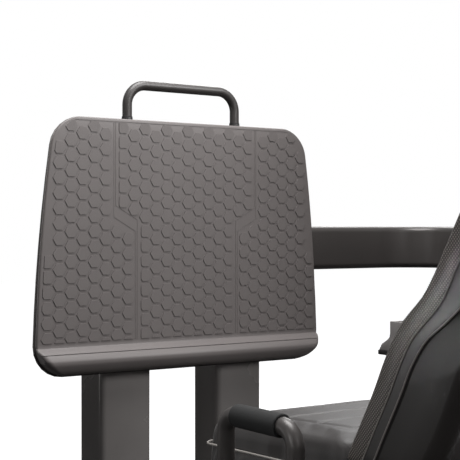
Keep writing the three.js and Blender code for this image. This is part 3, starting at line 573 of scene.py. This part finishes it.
# The hexagons: their spacing, size and rise, the centre of the highest row, and how small one may be cut
HEX_ROW = 30.0
HEX_COLUMN = 25.8
OUTER_COLUMN = 25.6
OUTER_START = 194
HEX_RADIUS = 14.0
HEX_RISE = 1.3
HEX_SOFT = 0.12
HEX_TOP = 966.6
HEX_SMALLEST = 60
HEX_ROWS = 16
INNER_COLUMNS = range(7)
OUTER_COLUMNS = range(-2, 6)
# How far inside the border a hexagon's centre stays, how near the cover's top the border is measured
# at most, and how far into the channel a centre may lie
HEX_ROOM = 5
TOP_ROOM = 12
CHANNEL_ROOM = 8
# The plain borders at the sides and the head, and where the field of hexagons starts over the lip
BORDER = 9
HEAD_BORDER = 8
FIELD_LOW = 538
FIELD_HALF = 400
# The channel between the inner and the outer hexagons, as (X, Z) corners from the head down
INNER_EDGE = [(164, 984), (164, 800), (113, 771), (113, 530)]
OUTER_EDGE = [(177, 984), (177, 776), (131, 750), (131, 530)]
# The ribs along the channel: their X above and below the slant, and the slant's two heights
RIBS = [(175.2, 126.0, 785, 757), (171.2, 121.6, 808, 780)]
RIB_RISE = 0.6
RIB_HALF = 0.6
HEAD_RIB_HALF = 262
# How deep the hexagons and the ribs are set into the cover
HEX_ROOT = 0.4
RIB_ROOT = 0.3


def clipped(polygon, a, b):
    """The part of a convex polygon on the left of the line from a to b."""
    def side(p):
        return (b[0] - a[0]) * (p[1] - a[1]) - (b[1] - a[1]) * (p[0] - a[0])

    kept = []
    for p, q in zip(polygon, polygon[1:] + polygon[:1]):
        if side(p) >= 0:
            kept.append(p)
        if side(p) * side(q) < 0:
            t = side(p) / (side(p) - side(q))
            kept.append((lerp(p[0], q[0], t), lerp(p[1], q[1], t)))
    return kept


def area_of(polygon):
    pairs = zip(polygon, polygon[1:] + polygon[:1])
    return abs(sum(p[0] * q[1] - q[0] * p[1] for p, q in pairs)) / 2


def slant(edge, x):
    """The height of a channel edge's slanted part at x, in layout millimetres."""
    (x_high, z_high), (x_low, z_low) = edge[1], edge[2]
    return lerp(z_low, z_high, min(max((x - x_low) / (x_high - x_low), 0), 1))


def fences(x, z, inner):
    """The lines that cut the hexagon at a place, or None where the channel leaves no room for it."""
    if inner:
        if z > slant(INNER_EDGE, x):
            return [(INNER_EDGE[1], INNER_EDGE[0]), (INNER_EDGE[2], INNER_EDGE[1])]
        return [(INNER_EDGE[3], INNER_EDGE[2])] if x <= INNER_EDGE[2][0] else None
    if z > OUTER_EDGE[1][1]:
        return [(OUTER_EDGE[0], OUTER_EDGE[1])] if x > OUTER_EDGE[0][0] - CHANNEL_ROOM else None
    if z < slant(OUTER_EDGE, x):
        return [(OUTER_EDGE[2], OUTER_EDGE[3]), (OUTER_EDGE[1], OUTER_EDGE[2])]
    return None


def hexagons():
    """The raised hexagons of the right half, cut at the cover's border and at the channel."""
    centres = []
    for row in range(HEX_ROWS):
        for column in INNER_COLUMNS:
            centres.append((column * HEX_COLUMN, HEX_TOP - HEX_ROW * (row + 0.5 * (column % 2)), True))
        for column in OUTER_COLUMNS:
            x = OUTER_START + OUTER_COLUMN * column
            centres.append((x, HEX_TOP - HEX_ROW * (row + 0.5 * ((column + 1) % 2)), False))
    head = COVER_TOP - HEAD_BORDER
    shapes = []
    for x, z, inner in centres:
        cuts = fences(x, z, inner)
        half = cover_half(min(max(z, COVER_FOOT), COVER_TOP - TOP_ROOM))
        if cuts is None or x + HEX_ROOM > half - BORDER:
            continue
        low = max(z - HEX_ROW / 2, COVER_FOOT)
        high = min(z + HEX_ROW / 2, head)
        if high <= low:
            continue
        cuts = cuts + [
            ((FIELD_HALF, head), (-FIELD_HALF, head)),
            ((-FIELD_HALF, FIELD_LOW), (FIELD_HALF, FIELD_LOW)),
            ((cover_half(low) - BORDER, low), (cover_half(high) - BORDER, high)),
        ]
        shape = [
            (x + HEX_RADIUS * math.cos(math.pi / 3 * k), z + HEX_RADIUS * math.sin(math.pi / 3 * k))
            for k in range(6)
        ]
        for start, end in cuts:
            shape = clipped(shape, start, end) if len(shape) > 2 else []
        if len(shape) > 2 and area_of(shape) > HEX_SMALLEST:
            shapes.append(shape)
    return shapes


def inset(shape, amount):
    """A shape drawn in towards its middle by about an amount."""
    cx = sum(p[0] for p in shape) / len(shape)
    cz = sum(p[1] for p in shape) / len(shape)
    reach = sum(math.hypot(p[0] - cx, p[1] - cz) for p in shape) / len(shape)
    keep = 1 - amount / reach
    return [(cx + (p[0] - cx) * keep, cz + (p[1] - cz) * keep) for p in shape]


def tile(shape, mirror):
    """One raised hexagon with a softened rim."""
    rings = []
    for depth, shrink in ((HEX_ROOT, 0), (-HEX_RISE + HEX_SOFT, 0), (-HEX_RISE, HEX_SOFT)):
        rings.append([at(mirror * x, depth, z) for x, z in inset(shape, shrink)])
    return loft(rings)


def rib(rim, mirror=1):
    """A low rib over an outline of (X, Z) points."""
    return loft([[at(mirror * x, depth, z) for x, z in rim] for depth in (RIB_ROOT, -RIB_RISE)])


def build_relief():
    """The cover's raised hexagons, the ribs along its channels, and the one below its head."""
    parts = []
    for shape in hexagons():
        centred = abs(sum(p[0] for p in shape)) < 1
        for mirror in ((1,) if centred else (1, -1)):
            parts.append(tile(shape, mirror))
    for mirror in (1, -1):
        for x_high, x_low, slant_top, slant_low in RIBS:
            path = [(x_high, COVER_TOP - HEAD_BORDER), (x_high, slant_top), (x_low, slant_low)]
            path.append((x_low, FIELD_LOW))
            rim = [(x - RIB_HALF, z) for x, z in path] + [(x + RIB_HALF, z) for x, z in reversed(path)]
            parts.append(rib(rim, mirror))
    low = COVER_TOP - HEAD_BORDER + 1
    high = low + 2 * RIB_HALF
    half = HEAD_RIB_HALF
    parts.append(rib([(-half, low), (half, low), (half, high), (-half, high)]))
    return merged(*parts)


# The handle: half its span, its place in Y, its legs' foot, its top bar and its bends
HANDLE_HALF = 133
HANDLE_Y = 22
HANDLE_FOOT = 885
HANDLE_TOP = 1057.5
HANDLE_BEND = 42
HANDLE_RADIUS = 10
# Faces of the cover that look this much sideways get a lighter colour, a painted highlight of the rim light
# along its side edges and the lip's ends
COVER_SIDEWAYS = 0.8


def paint_sideways(obj, material, share):
    """Gives a second material to the faces whose normal has more than a share of X in it."""
    obj.data.materials.append(material)
    for face in obj.data.polygons:
        if abs(face.normal.x) > share:
            face.material_index = 1


def build_footplate():
    cover = piece("footplate_cover_skin", *build_cover(), COVER, "stand", "plate_cover",
                  ("footplate_cover",), angle=28)
    # The sideways faces get the lighter colour: a painted highlight along the cover's side edges and lip ends
    paint_sideways(cover, COVER_EDGE_HIGHLIGHT, COVER_SIDEWAYS)
    piece("footplate_hexagons", *build_relief(), COVER, "stand", "plate_cover", angle=12)


def build_handle():
    corners = [(-1, HANDLE_FOOT), (-1, HANDLE_TOP), (1, HANDLE_TOP), (1, HANDLE_FOOT)]
    points = route([at(side * HANDLE_HALF, HANDLE_Y, z) for side, z in corners], [HANDLE_BEND * MM] * 2, 20)
    piece("footplate_handle_skin", *swept(circle(HANDLE_RADIUS * MM, 32), points), HANDLE_PAINT, "stand",
          "frame_paint", ("footplate_handle",))


def build_handle_seals():
    """Black rings where the handle's legs go into their bosses."""
    profile = [(10.1, 986), (11, 986), (11, 991.2), (10.7, 991.8), (10.1, 991.8)]
    seals = [turned(profile, at(side * HANDLE_HALF, HANDLE_Y, 0), "z") for side in (-1, 1)]
    piece("handle_seals", *merged(*seals), RUBBER, "stand", "black_rubber", angle=50)


# The upper beam's middle line, its section, and where it starts, turns to the tower and ends
BEAM_Y = 139.9
BEAM_Z = 716.5
BEAM_DEPTH = 60
BEAM_HEIGHT = 103
BEAM_CORNER = 14
BEAM_BEND = 150
BEAM_START = -190
BEAM_TURN = 785
BEAM_END = -199.7


def build_beam():
    corners = [(BEAM_START, BEAM_Y), (BEAM_TURN, BEAM_Y), (BEAM_TURN, BEAM_END)]
    points = route([at(x, y, BEAM_Z) for x, y in corners], [BEAM_BEND * MM], 32)
    outline = rounded_rectangle(BEAM_DEPTH, BEAM_HEIGHT, BEAM_CORNER, 8)
    section = [(a * MM, b * MM) for a, b in outline]
    piece("upper_beam_skin", *swept(section, points), PAINT, "stand", "frame_paint", ("upper_beam",))


# ---------------- reclining back
BACK_HALF = 229.5
BACK_LOW = 425
BACK_TOP = 1150
BACK_CORNER = 85
# How far forward of the curves below the back sits
BACK_AHEAD = 5.5
# Side profiles: (height, Y) of the front and rear, (height, depth) of the pad's side and the shell's band
back_front = curve_through([
    (425, -783), (480, -813), (535, -844), (581, -867), (615, -887), (638, -905), (655, -924), (672, -942),
    (694, -958), (710, -968), (745, -988), (783, -1010), (900, -1076.6), (1150, -1221),
])
strip_depth = curve_through([
    (425, 37), (560, 38), (600, 39), (622, 42), (640, 47.5), (655, 46.5), (680, 42), (717, 39), (1150, 40),
])
ridge_depth = curve_through([
    (425, 22), (570, 21), (600, 24), (618, 27), (632, 33), (657, 38), (700, 46), (780, 56), (950, 66),
    (1150, 60),
])
back_rear = curve_through([
    (425, -941), (440, -958), (600, -1044), (880, -1189), (1080, -1276), (1130, -1283), (1150, -1283),
])


# The pad: how round its ends and its front edge are, its crown and its two bolsters
PAD_END = 14
PAD_EDGE = 9
PAD_CROWN = 13
CROWN_MID = 800
CROWN_REACH = 520
BOLSTER_RISE = 6
BOLSTER_X = 150
BOLSTER_WIDTH = 38
PAD_SIDEWAYS = 0.75
# The shell: how round its ends, its rear and its top are, and how far behind the pad it starts
SHELL_END = 12
SHELL_CORNER = 30
SHELL_TOP_ROUND = 42
SHELL_GAP = 1.2
BEAD_RADIUS = 1.4
SEAM_RADIUS = 1.3
SEAM_INSET = 1.6


def back_half(z):
    """Half the back's width at a height."""
    over = z - (BACK_TOP - BACK_CORNER)
    if over <= 0:
        return BACK_HALF
    return BACK_HALF - BACK_CORNER * (1 - math.sqrt(max(1 - (over / BACK_CORNER) ** 2, 0)))


def seam_at(z):
    """The Y of the pad's rear edge, where it meets the shell."""
    return back_front(z) - strip_depth(z)


def back_levels(edge):
    """The heights that the back's rings lie at, closer together at its round ends."""
    levels = list(np.linspace(BACK_LOW + edge, BACK_TOP - BACK_CORNER, 58))
    levels += [BACK_TOP - BACK_CORNER + BACK_CORNER * math.sin(angle) for angle in quarter(16, 1)[:-1]]
    levels += [BACK_TOP - edge + edge * math.sin(angle) for angle in quarter(5)]
    levels += [BACK_LOW + edge * (1 - math.sin(angle)) for angle in quarter(5)]
    return sorted(set(round(z, 3) for z in levels))


def end_inset(z, edge):
    """How far a skin draws in near the back's two ends, so that they are round."""
    over = max(z - (BACK_TOP - edge), BACK_LOW + edge - z, 0)
    return edge - math.sqrt(max(edge * edge - over * over, 0))


def top_round(z):
    """How far the shell's rear comes forward near the top, so that its upper edge is round."""
    radius = SHELL_TOP_ROUND
    over = max(z - (BACK_TOP - radius), 0)
    return radius - math.sqrt(max(radius * radius - over * over, 0))


def back_ring(side, z):
    """A ring of the back from the (X, Y) points of its right side."""
    ring = side + [(-x, y) for x, y in reversed(side)]
    return [at(x, y + BACK_AHEAD, z) for x, y in ring]


def pad_ring(z):
    """The pad's outline at a height: a bulged side, a round front edge, and a crowned front."""
    draw = end_inset(z, PAD_END)
    half = back_half(z) - draw * 0.6
    front = back_front(z) - draw
    seam = seam_at(z)
    depth = front - seam
    side = []
    for k in range(9):
        t = k / 8
        bulge = 2.2 * math.sin(math.pi * (0.3 + 0.6 * t))
        side.append((half - 2.6 + bulge, seam + (depth - PAD_EDGE) * t))
    for angle in quarter(6, 1):
        x = half - 1.6 - PAD_EDGE * (1 - math.cos(angle))
        side.append((x, front - PAD_EDGE + PAD_EDGE * math.sin(angle)))
    crown = PAD_CROWN * (1 - smoothstep(0, 1, abs(z - CROWN_MID) / CROWN_REACH))
    for k in range(1, 12):
        x = (half - 1.6 - PAD_EDGE) * (1 - k / 12)
        across = 1 - (x / half) ** 2
        bolster = BOLSTER_RISE * gaussian(abs(x) - BOLSTER_X, BOLSTER_WIDTH)
        side.append((x, front + crown * across * 0.4 + bolster * across))
    return back_ring(side, z)


def shell_ring(z):
    """The shell's outline at a height: a flat band behind the pad, a ridge, and a tapering rear."""
    draw = end_inset(z, SHELL_END)
    half = back_half(z) - draw * 0.8
    seam = seam_at(z) - SHELL_GAP
    ridge = seam - ridge_depth(z)
    rear = min(back_rear(z) + max(draw, top_round(z)), ridge - 6)
    side = [(half - 26, seam), (half - 1.8, seam), (half - 1.3, seam - 1.5)]
    for k in range(1, 7):
        t = k / 7
        side.append((half - 1.3 + 0.4 * t, lerp(seam - 1.5, ridge + 2.5, t)))
    side += [(half - 0.8, ridge + 2.0), (half - 0.4, ridge)]
    side += [(half - 1.4, ridge - 2.0), (half - 3.6, ridge - 3.6)]
    room = ridge - 4 - rear
    corner = min(SHELL_CORNER, room * 0.8)
    side.append((half - 5.5, lerp(ridge - 4, rear + corner, 0.5)))
    for angle in quarter(8):
        side.append((half - 6 - corner * (1 - math.cos(angle)), rear + corner * (1 - math.sin(angle))))
    for k in range(1, 6):
        side.append(((half - 6 - corner) * (1 - k / 6), rear))
    return back_ring(side, z)


def build_back():
    pad = piece("back_pad", *loft([pad_ring(z) for z in back_levels(PAD_END)]), LEATHER, "backrest",
                "upholstery", ("backrest_pad",), angle=50)
    paint_sideways(pad, WEAVE, PAD_SIDEWAYS)
    shell = loft([shell_ring(z) for z in back_levels(SHELL_END)])
    piece("back_shell", *shell, SHELL, "backrest", "shell", ("backrest_shell",), angle=40)


def build_back_trim():
    """The piping along the seam round the back, and a thin light bead on each of the shell's ridges, a
    painted highlight of the ridge.
    """
    corner_low = BACK_TOP - BACK_CORNER
    levels = list(np.linspace(BACK_LOW + SHELL_END, corner_low, 60))
    levels += [corner_low + (BACK_CORNER - 2) * math.sin(angle) for angle in quarter(12, 1)]
    seam = [(back_half(z) - SEAM_INSET, seam_at(z) - 0.4 + BACK_AHEAD, z) for z in levels]
    points = [at(*place) for place in seam]
    points += [at(-x, y, z) for x, y, z in reversed(seam)]
    piece("back_seam_piping", *swept(circle(SEAM_RADIUS * MM, 10), points), PIPING, "backrest", "upholstery")
    # Each ridge bead's light colour stands in for the highlight on the ridge: a painted highlight
    for side, name in ((-1, "left_shell_bead"), (1, "right_shell_bead")):
        points = []
        for z in np.linspace(BACK_LOW + SHELL_END, BACK_TOP - 20, 70):
            ridge = seam_at(z) - SHELL_GAP - ridge_depth(z)
            points.append(at(side * (back_half(z) - 0.9), ridge + BACK_AHEAD, z))
        piece(name, *swept(circle(BEAD_RADIUS * MM, 10), points), SHELL_RIDGE_HIGHLIGHT, "backrest", "shell")


# ---------------- seat
CUSHION_WIDTH = 430
CUSHION_LENGTH = 380
CUSHION_RISE = 94
CUSHION_TILT = 17
CUSHION_EDGE = 30
CUSHION_Y = -581.5
CUSHION_LOW = 346
# The cushion's profile from its foot up, as (height, how far in) pairs
CUSHION_PROFILE = [(0, 14), (4, 5), (14, 0), (50, -1), (74, 1), (86, 6), (92, 15), (94, 30)]
# The fill: remesh cell, the furthest that a point moves, and the height that stays pinned, in metres
CELL = 0.0065
SWELL = 0.006
PINNED = 0.012
CLOTH_FRAMES = 20
CLOTH_PRESSURE = 4
# The sewn panel: its half width and length, its grooves' width, and above which Z they are pressed in
PANEL_X = 150
PANEL_Y = 128
CROSS_SEAM_Y = 42
GROOVE = 5
GROOVE_ABOVE = 395


def cushion_tilt(y):
    """How far the cushion's top has risen at y, counted from its middle, towards its back."""
    return lerp(0, CUSHION_TILT, (CUSHION_LENGTH / 2 - y) / CUSHION_LENGTH)


def cushion_block():
    """The cushion before it is filled: a rounded block that rises a little towards its back."""
    rings = []
    for rise, draw in CUSHION_PROFILE:
        outline = rounded_rectangle(
            CUSHION_WIDTH - 2 * draw, CUSHION_LENGTH - 2 * draw, CUSHION_EDGE - draw * 0.3, 8)
        ring = []
        for x, y in outline:
            lift = cushion_tilt(y) * rise / CUSHION_RISE
            ring.append(at(x, y + CUSHION_Y, CUSHION_LOW + rise + lift))
        rings.append(ring)
    return loft(rings)


def apply_all(obj):
    """Turns an object's modifiers into its mesh."""
    depsgraph = bpy.context.evaluated_depsgraph_get()
    mesh = bpy.data.meshes.new_from_object(obj.evaluated_get(depsgraph))
    obj.modifiers.clear()
    obj.data = mesh


def fill_up(obj):
    """Remesh a closed shape, press its skin out from inside as cloth, and cap how far a point moves."""
    remesh = obj.modifiers.new("remesh", "REMESH")
    remesh.mode = "VOXEL"
    remesh.voxel_size = CELL
    apply_all(obj)
    start = [v.co.copy() for v in obj.data.vertices]
    pinned = obj.vertex_groups.new(name="pinned")
    foot = min(v.z for v in start)
    pinned.add([i for i, v in enumerate(start) if v.z < foot + PINNED], 1.0, "REPLACE")
    cloth = obj.modifiers.new("cloth", "CLOTH")
    cloth.settings.use_pressure = True
    cloth.settings.uniform_pressure_force = CLOTH_PRESSURE
    cloth.settings.vertex_group_mass = "pinned"
    cloth.settings.effector_weights.gravity = 0
    cloth.point_cache.frame_start = 1
    cloth.point_cache.frame_end = CLOTH_FRAMES
    for moment in range(1, CLOTH_FRAMES + 1):
        bpy.context.scene.frame_set(moment)
    apply_all(obj)
    for vertex, old in zip(obj.data.vertices, start):
        move = vertex.co - old
        if move.length > SWELL:
            vertex.co = old + move * (SWELL / move.length)
    bpy.context.scene.frame_set(1)


def build_cushion():
    pad = piece("seat_cushion_cover", *cushion_block(), LEATHER, "carriage", "upholstery",
                ("seat_cushion",), angle=180)
    fill_up(pad)
    smooth = pad.modifiers.new("smooth", "SUBSURF")
    smooth.levels = smooth.render_levels = 1
    apply_all(pad)
    # A sewn panel: a groove round the middle of the top, and two across it
    centre = at(0, CUSHION_Y, 0)
    for vertex in pad.data.vertices:
        x, y, z = (vertex.co - centre) / MM
        if z < GROOVE_ABOVE:
            continue
        edge = max(abs(x) - PANEL_X, abs(y) - PANEL_Y)
        depth = 3.2 * gaussian(edge, GROOVE)
        if edge < 0:
            depth += 2.6 * max(gaussian(y - CROSS_SEAM_Y, GROOVE), gaussian(y + CROSS_SEAM_Y, GROOVE))
        vertex.co.z -= depth * MM
    pad.data.shade_smooth()
    rim = [at(x, y + CUSHION_Y, CUSHION_LOW + 50 + cushion_tilt(y) * 0.5)
           for x, y in rounded_rectangle(CUSHION_WIDTH + 5, CUSHION_LENGTH + 5, CUSHION_EDGE, 10)]
    piece("seat_piping", *swept(circle(2.2 * MM, 10), rim + rim[:1]), PIPING, "carriage", "upholstery")


def build_seat_handles():
    """A bent bar at each side of the seat, with a ribbed foam grip."""
    low, top = 337, 470
    back, front = -720, -540
    for name, side in (("left_seat_handle", -1), ("right_seat_handle", 1)):
        root, reach = 222.3 * side, 268 * side
        corners = [at(root, back, low), at(reach, back, low), at(reach, back, top), at(reach, front, top),
                   at(reach, front, low), at(root, front, low)]
        points = route(corners, [20 * MM, 30 * MM, 30 * MM, 20 * MM], 12)
        piece(name + "_tube", *swept(circle(14 * MM, 28), points), PAINT, "carriage", "frame_paint", (name,))
        grip = [(14.2, -58), (17, -58), (18.2, -56.5)]
        for k in range(-9, 10):
            grip += [(18.4, k * 6 - 1.6), (17.6, k * 6 + 1.4)]
        grip += [(18.2, 57.5), (17, 59), (14.2, 59)]
        place = at(reach, (back + front) / 2, top)
        piece(name + "_grip", *turned(grip, place, "y", 28), FOAM, "carriage", "black_rubber", angle=60)


# ---------------- weight stack and cable
# The stack's middle line, its plates and the holes for the selector rod and the two guide rods
STACK_X = 790
STACK_Y = -470
PLATE_WIDTH = 130
PLATE_LENGTH = 280
PLATE_PITCH = 22
PLATE_EDGE = 1.2
SELECTOR_BORE = 14
ROD_BORE = 14.6
ROD_Y = 100
# Node, body, lowest plate's foot, number of plates
STACKS = [("resting_plates", "stand", 130.3, 10), ("lifted_plates", "moving_stack", 350.9, 11)]
# The cable: its radius, its lower run's height, the top wheel's height, and its bends round the wheels
CABLE_RADIUS = 3
CABLE_Z = 140
TOP_WHEEL_Z = 1325
TOP_WHEEL_RADIUS = 76
BASE_WHEEL_RADIUS = 40


def pierced_plate(low, high):
    """One weight plate with round corners, softened rims and holes for its three rods."""
    edge = PLATE_EDGE
    outer = rounded_rectangle(PLATE_WIDTH, PLATE_LENGTH, 5, 4)
    inner = rounded_rectangle(PLATE_WIDTH - 2 * edge, PLATE_LENGTH - 2 * edge, 4, 4)
    bores = ((-1, ROD_BORE), (0, SELECTOR_BORE), (1, ROD_BORE))
    holes = [[(x, y + side * ROD_Y) for x, y in circle(radius, 20)] for side, radius in bores]
    verts = []
    faces = []

    def ring_of(points, z):
        verts.extend(at(STACK_X + x, STACK_Y + y, z) for x, y in points)
        return list(range(len(verts) - len(points), len(verts)))

    def wall(a, b):
        count = len(a)
        for i in range(count):
            j = (i + 1) % count
            faces.append((a[i], a[j], b[j], b[i]))

    caps = []
    for z, rim_z in ((low, low + edge), (high, high - edge)):
        caps.append((ring_of(inner, z), ring_of(outer, rim_z), [ring_of(hole, z) for hole in holes]))
    wall(caps[0][0], caps[0][1])
    wall(caps[0][1], caps[1][1])
    wall(caps[1][1], caps[1][0])
    for bottom, top in zip(caps[0][2], caps[1][2]):
        wall(bottom, top)
    for rim, _, openings in caps:
        loops = [[verts[i] for i in loop] for loop in (rim, *openings)]
        order = [i for loop in (rim, *openings) for i in loop]
        for triangle in tessellate_polygon(loops):
            faces.append(tuple(order[i] for i in triangle))
    return verts, faces


def build_stack():
    rim = [(6.4, 1), (6.4, -0.9), (9, -0.9), (9, 1)]
    for name, body, low, count in STACKS:
        feet = [low + PLATE_PITCH * k for k in range(count)]
        plates = [pierced_plate(foot + 0.5, low + PLATE_PITCH * (k + 1) - 0.3) for k, foot in enumerate(feet)]
        piece(name + "_cast", *merged(*plates), IRON, body, "stack_steel", (name,), angle=25)
        front = STACK_X - PLATE_WIDTH / 2
        rings = [turned(rim, at(front, STACK_Y, foot + PLATE_PITCH / 2), "x", 20) for foot in feet]
        piece(name + "_pin_holes", *merged(*rings), ZINC, body, "bright_steel")
    collar = [(13, 0), (22, 0), (22, 9), (19, 12), (13, 12)]
    piece("stack_top_collar", *turned(collar, at(STACK_X, STACK_Y, 593), "z"), ZINC, "moving_stack",
          "bright_steel")


def straight_cable(name, start, end):
    """A straight length between points on two bodies."""
    steps = [start.lerp(end, k / 24) for k in range(25)]
    section = circle(CABLE_RADIUS * MM, 14)
    cable = piece(name + "_rope", *swept(section, steps), CABLE, None, "black_nylon", (name,))
    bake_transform(cable)


def build_cables():
    """The length round the pulleys, the two straight lengths between bodies, and a sleeve on each cable end.
    """
    high = TOP_WHEEL_Z + TOP_WHEEL_RADIUS
    near = STACK_Y + 2 * TOP_WHEEL_RADIUS
    corners = [
        at(0, near - BASE_WHEEL_RADIUS, CABLE_Z), at(0, near, CABLE_Z), at(STACK_X, near, CABLE_Z),
        at(STACK_X, near, high), at(STACK_X, STACK_Y, high), at(STACK_X, STACK_Y, TOP_WHEEL_Z),
    ]
    radii = [BASE_WHEEL_RADIUS * MM] * 2 + [TOP_WHEEL_RADIUS * MM] * 2
    run = swept(circle(CABLE_RADIUS * MM, 14), route(corners, radii, 24))
    piece("cable_run_rope", *run, CABLE, "stand", "black_nylon", ("cable_run",))
    straight_cable("cable_carriage", at(0, -358.3, CABLE_Z), at(0, -609.7, CABLE_Z))
    straight_cable("cable_stack", at(STACK_X, STACK_Y, 1324.7), at(STACK_X, STACK_Y, 613.2))
    sleeve = [(3.1, 0), (6, 0), (6.5, 2), (6.5, 24), (5, 27), (3.1, 27)]
    piece("cable_sleeve_stack", *turned(sleeve, at(STACK_X, STACK_Y, 613.5), "z", 20), ZINC,
          "moving_stack", "bright_steel")
    piece("cable_sleeve_carriage", *turned(sleeve, at(0, -609.4, CABLE_Z), "y", 20, -1), ZINC, "carriage",
          "bright_steel")


# ---------------- fixings and trim
SMALL_BOLT = 7
BOLT = 8
LARGE_BOLT = 9
FRONT_BEAM_Y = 60
REAR_BEAM_Y = -1570
FRONT_BEAM_TOP = 100.4
# The floor beams' end caps, on the two beams' ends and at their middle's height
FLOOR_BEAM_END = 301.5
FLOOR_BEAM_MID = 60.3
# The rails: half the distance between them, their height, and the Y and top of their supports
RAIL_X = 120
RAIL_Z = 190
RAIL_SUPPORT_Y = (-500, -1480)
RAIL_SUPPORT_TOP = 232
RAIL_ENDS = ((-520.6, 1), (-1459.4, -1))
# The tower: its top, its sides' X, and its bolts' Y
TOWER_TOP = 1500
TOWER_SIDES = ((610, -1), (960, 1))
TOWER_BOLT_Y = (-240, -680)


def bolt(centre, axis, flip=1, size=BOLT):
    """A hex bolt head on its washer, standing out along the axis."""
    rim, lip = size * 1.15, size * 1.05
    washer = turned([(0, -0.2), (rim, -0.2), (rim, 1.4), (lip, 1.8), (0, 1.8)], centre, axis, 24, flip)
    wide, narrow = size * 0.95, size * 0.82
    shoulder, top = size * 0.62, size * 0.72
    head = turned([(0, 1.7), (wide, 1.7), (wide, shoulder), (narrow, top), (0, top)], centre, axis, 6, flip)
    return merged(washer, head)


def build_frame_bolts():
    heads = []
    for x in (-225, -55, 55, 225):
        heads.append(bolt(at(x, FRONT_BEAM_Y, FRONT_BEAM_TOP), "z"))
    for y in RAIL_SUPPORT_Y:
        for x in (-138, -98, 98, 138):
            heads.append(bolt(at(x, y, RAIL_SUPPORT_TOP), "z", 1, SMALL_BOLT))
    for x in (640, 930):
        for y in TOWER_BOLT_Y:
            heads.append(bolt(at(x, y, TOWER_TOP), "z", 1, LARGE_BOLT))
    for y in TOWER_BOLT_Y:
        for z in (160, 700, 1300):
            for x, flip in TOWER_SIDES:
                heads.append(bolt(at(x, y, z), "x", flip))
    piece("frame_bolts", *merged(*heads), ZINC, "stand", "bright_steel", angle=30)


def build_carriage_bolts():
    """The bolts along the carriage's top, and one on each end of the back's hinge axle."""
    heads = []
    for side in (-1, 1):
        for y in (-610, -720, -830):
            heads.append(bolt(at(side * 130, y, 240), "z", 1, SMALL_BOLT))
        heads.append(bolt(at(side * 116, -905, 350), "x", side, LARGE_BOLT))
    piece("carriage_bolts", *merged(*heads), ZINC, "carriage", "bright_steel", angle=30)


def build_end_caps():
    caps = []
    for y in (FRONT_BEAM_Y, REAR_BEAM_Y):
        for side in (-1, 1):
            caps.append(end_cap(at(side * FLOOR_BEAM_END, y, FLOOR_BEAM_MID), (99, 79, 5), 12))
    beam_end = at(BEAM_START - 1, BEAM_Y, BEAM_Z)
    caps.append(end_cap(beam_end, (BEAM_DEPTH - 1, BEAM_HEIGHT - 1, 5), BEAM_CORNER - 1))
    piece("beam_end_caps", *merged(*caps), NYLON, "stand", "black_nylon")


def build_bumpers():
    profile = [(19.2, 0), (27, 0), (28, 1.5), (28, 15), (25, 18), (19.2, 18)]
    rings = [
        turned(profile, at(x, y, RAIL_Z), "y", 32, flip)
        for x in (-RAIL_X, RAIL_X) for y, flip in RAIL_ENDS
    ]
    piece("rail_bumpers", *merged(*rings), RUBBER, "stand", "black_rubber", angle=50)


WINDOW_LOW = 140.3
WINDOW_HIGH = 602.9
WINDOW_HALF = 58


def build_window_trim():
    half_high = (WINDOW_HIGH - WINDOW_LOW) / 2 + 3
    middle = (WINDOW_HIGH + WINDOW_LOW) / 2
    rings = []
    for inner, x in ((0, 617), (0, 613), (3, 612), (5, 613), (5, 617)):
        outline = rounded_rectangle(2 * (WINDOW_HALF - inner), 2 * (half_high - inner), 6, 5)
        rings.append([at(x, STACK_Y + a, middle + b) for a, b in outline])
    verts, faces = loft(rings + rings[:1], caps=False)
    piece("pin_window_trim", verts, faces, NYLON, "stand", "black_nylon")


# ---------------- the other CAD pieces, with soft edges
# Points closer than this, in metres, become one, and so do faces that meet at less than FLAT degrees.
# Edges over SHARP degrees are rounded by the width SOFT, and those over SHARP_SKIN then stay sharp.
SKIN_WELD = 2e-5
FLAT = 0.8
SHARP = 40
SOFT = 1.5
SHARP_SKIN = 30


def refined(name, material):
    """A skin over a CAD node: the same shape with flat faces joined and sharp edges rounded."""
    source = frame["nodes"][name]
    shaper = bmesh.new()
    shaper.from_mesh(source.data)
    bmesh.ops.remove_doubles(shaper, verts=shaper.verts, dist=SKIN_WELD)
    bmesh.ops.dissolve_limit(shaper, angle_limit=math.radians(FLAT), verts=shaper.verts, edges=shaper.edges)
    limit = math.radians(SHARP)
    sharp = [e for e in shaper.edges if len(e.link_faces) == 2 and e.calc_face_angle(0) > limit]
    bmesh.ops.bevel(shaper, geom=sharp, offset=SOFT * MM, offset_type="OFFSET", segments=2, profile=0.6,
                    affect="EDGES", clamp_overlap=True)
    mesh = bpy.data.meshes.new(name + "_skin")
    shaper.to_mesh(mesh)
    shaper.free()
    body = next(b for b, names in frame["record"]["behaviour"]["bodies"].items() if name in names)
    mount(name + "_skin", mesh, material, body, (name,), SHARP_SKIN)


SLOT_FINISH = {
    "frame_paint": PAINT, "plate_cover": COVER, "black_rubber": RUBBER, "bright_steel": STEEL,
    "stack_steel": IRON, "black_nylon": NYLON, "upholstery": LEATHER, "shell": SHELL, "tray_grey": TRAY_GREY,
}
SPECIAL = {"left_post": POST_PAINT, "right_post": POST_PAINT}
SLOT_OF = {row["node"]: row["material_slot"] for row in frame["record"]["subparts"]}
BUILT = {
    "footplate_cover", "footplate_handle", "upper_beam", "backrest_pad", "backrest_shell", "seat_cushion",
    "left_seat_handle", "right_seat_handle", "resting_plates", "lifted_plates", "cable_run", "cable_carriage",
    "cable_stack",
}


def dress_rest():
    for name, slot in SLOT_OF.items():
        if name not in BUILT:
            refined(name, SPECIAL.get(name, SLOT_FINISH[slot]))


build_camera()
build_floor()
build_light()
build_footplate()
build_handle()
build_handle_seals()
build_beam()
build_back()
build_back_trim()
build_cushion()
build_seat_handles()
build_stack()
build_cables()
build_frame_bolts()
build_carriage_bolts()
build_end_caps()
build_bumpers()
build_window_trim()
dress_rest()
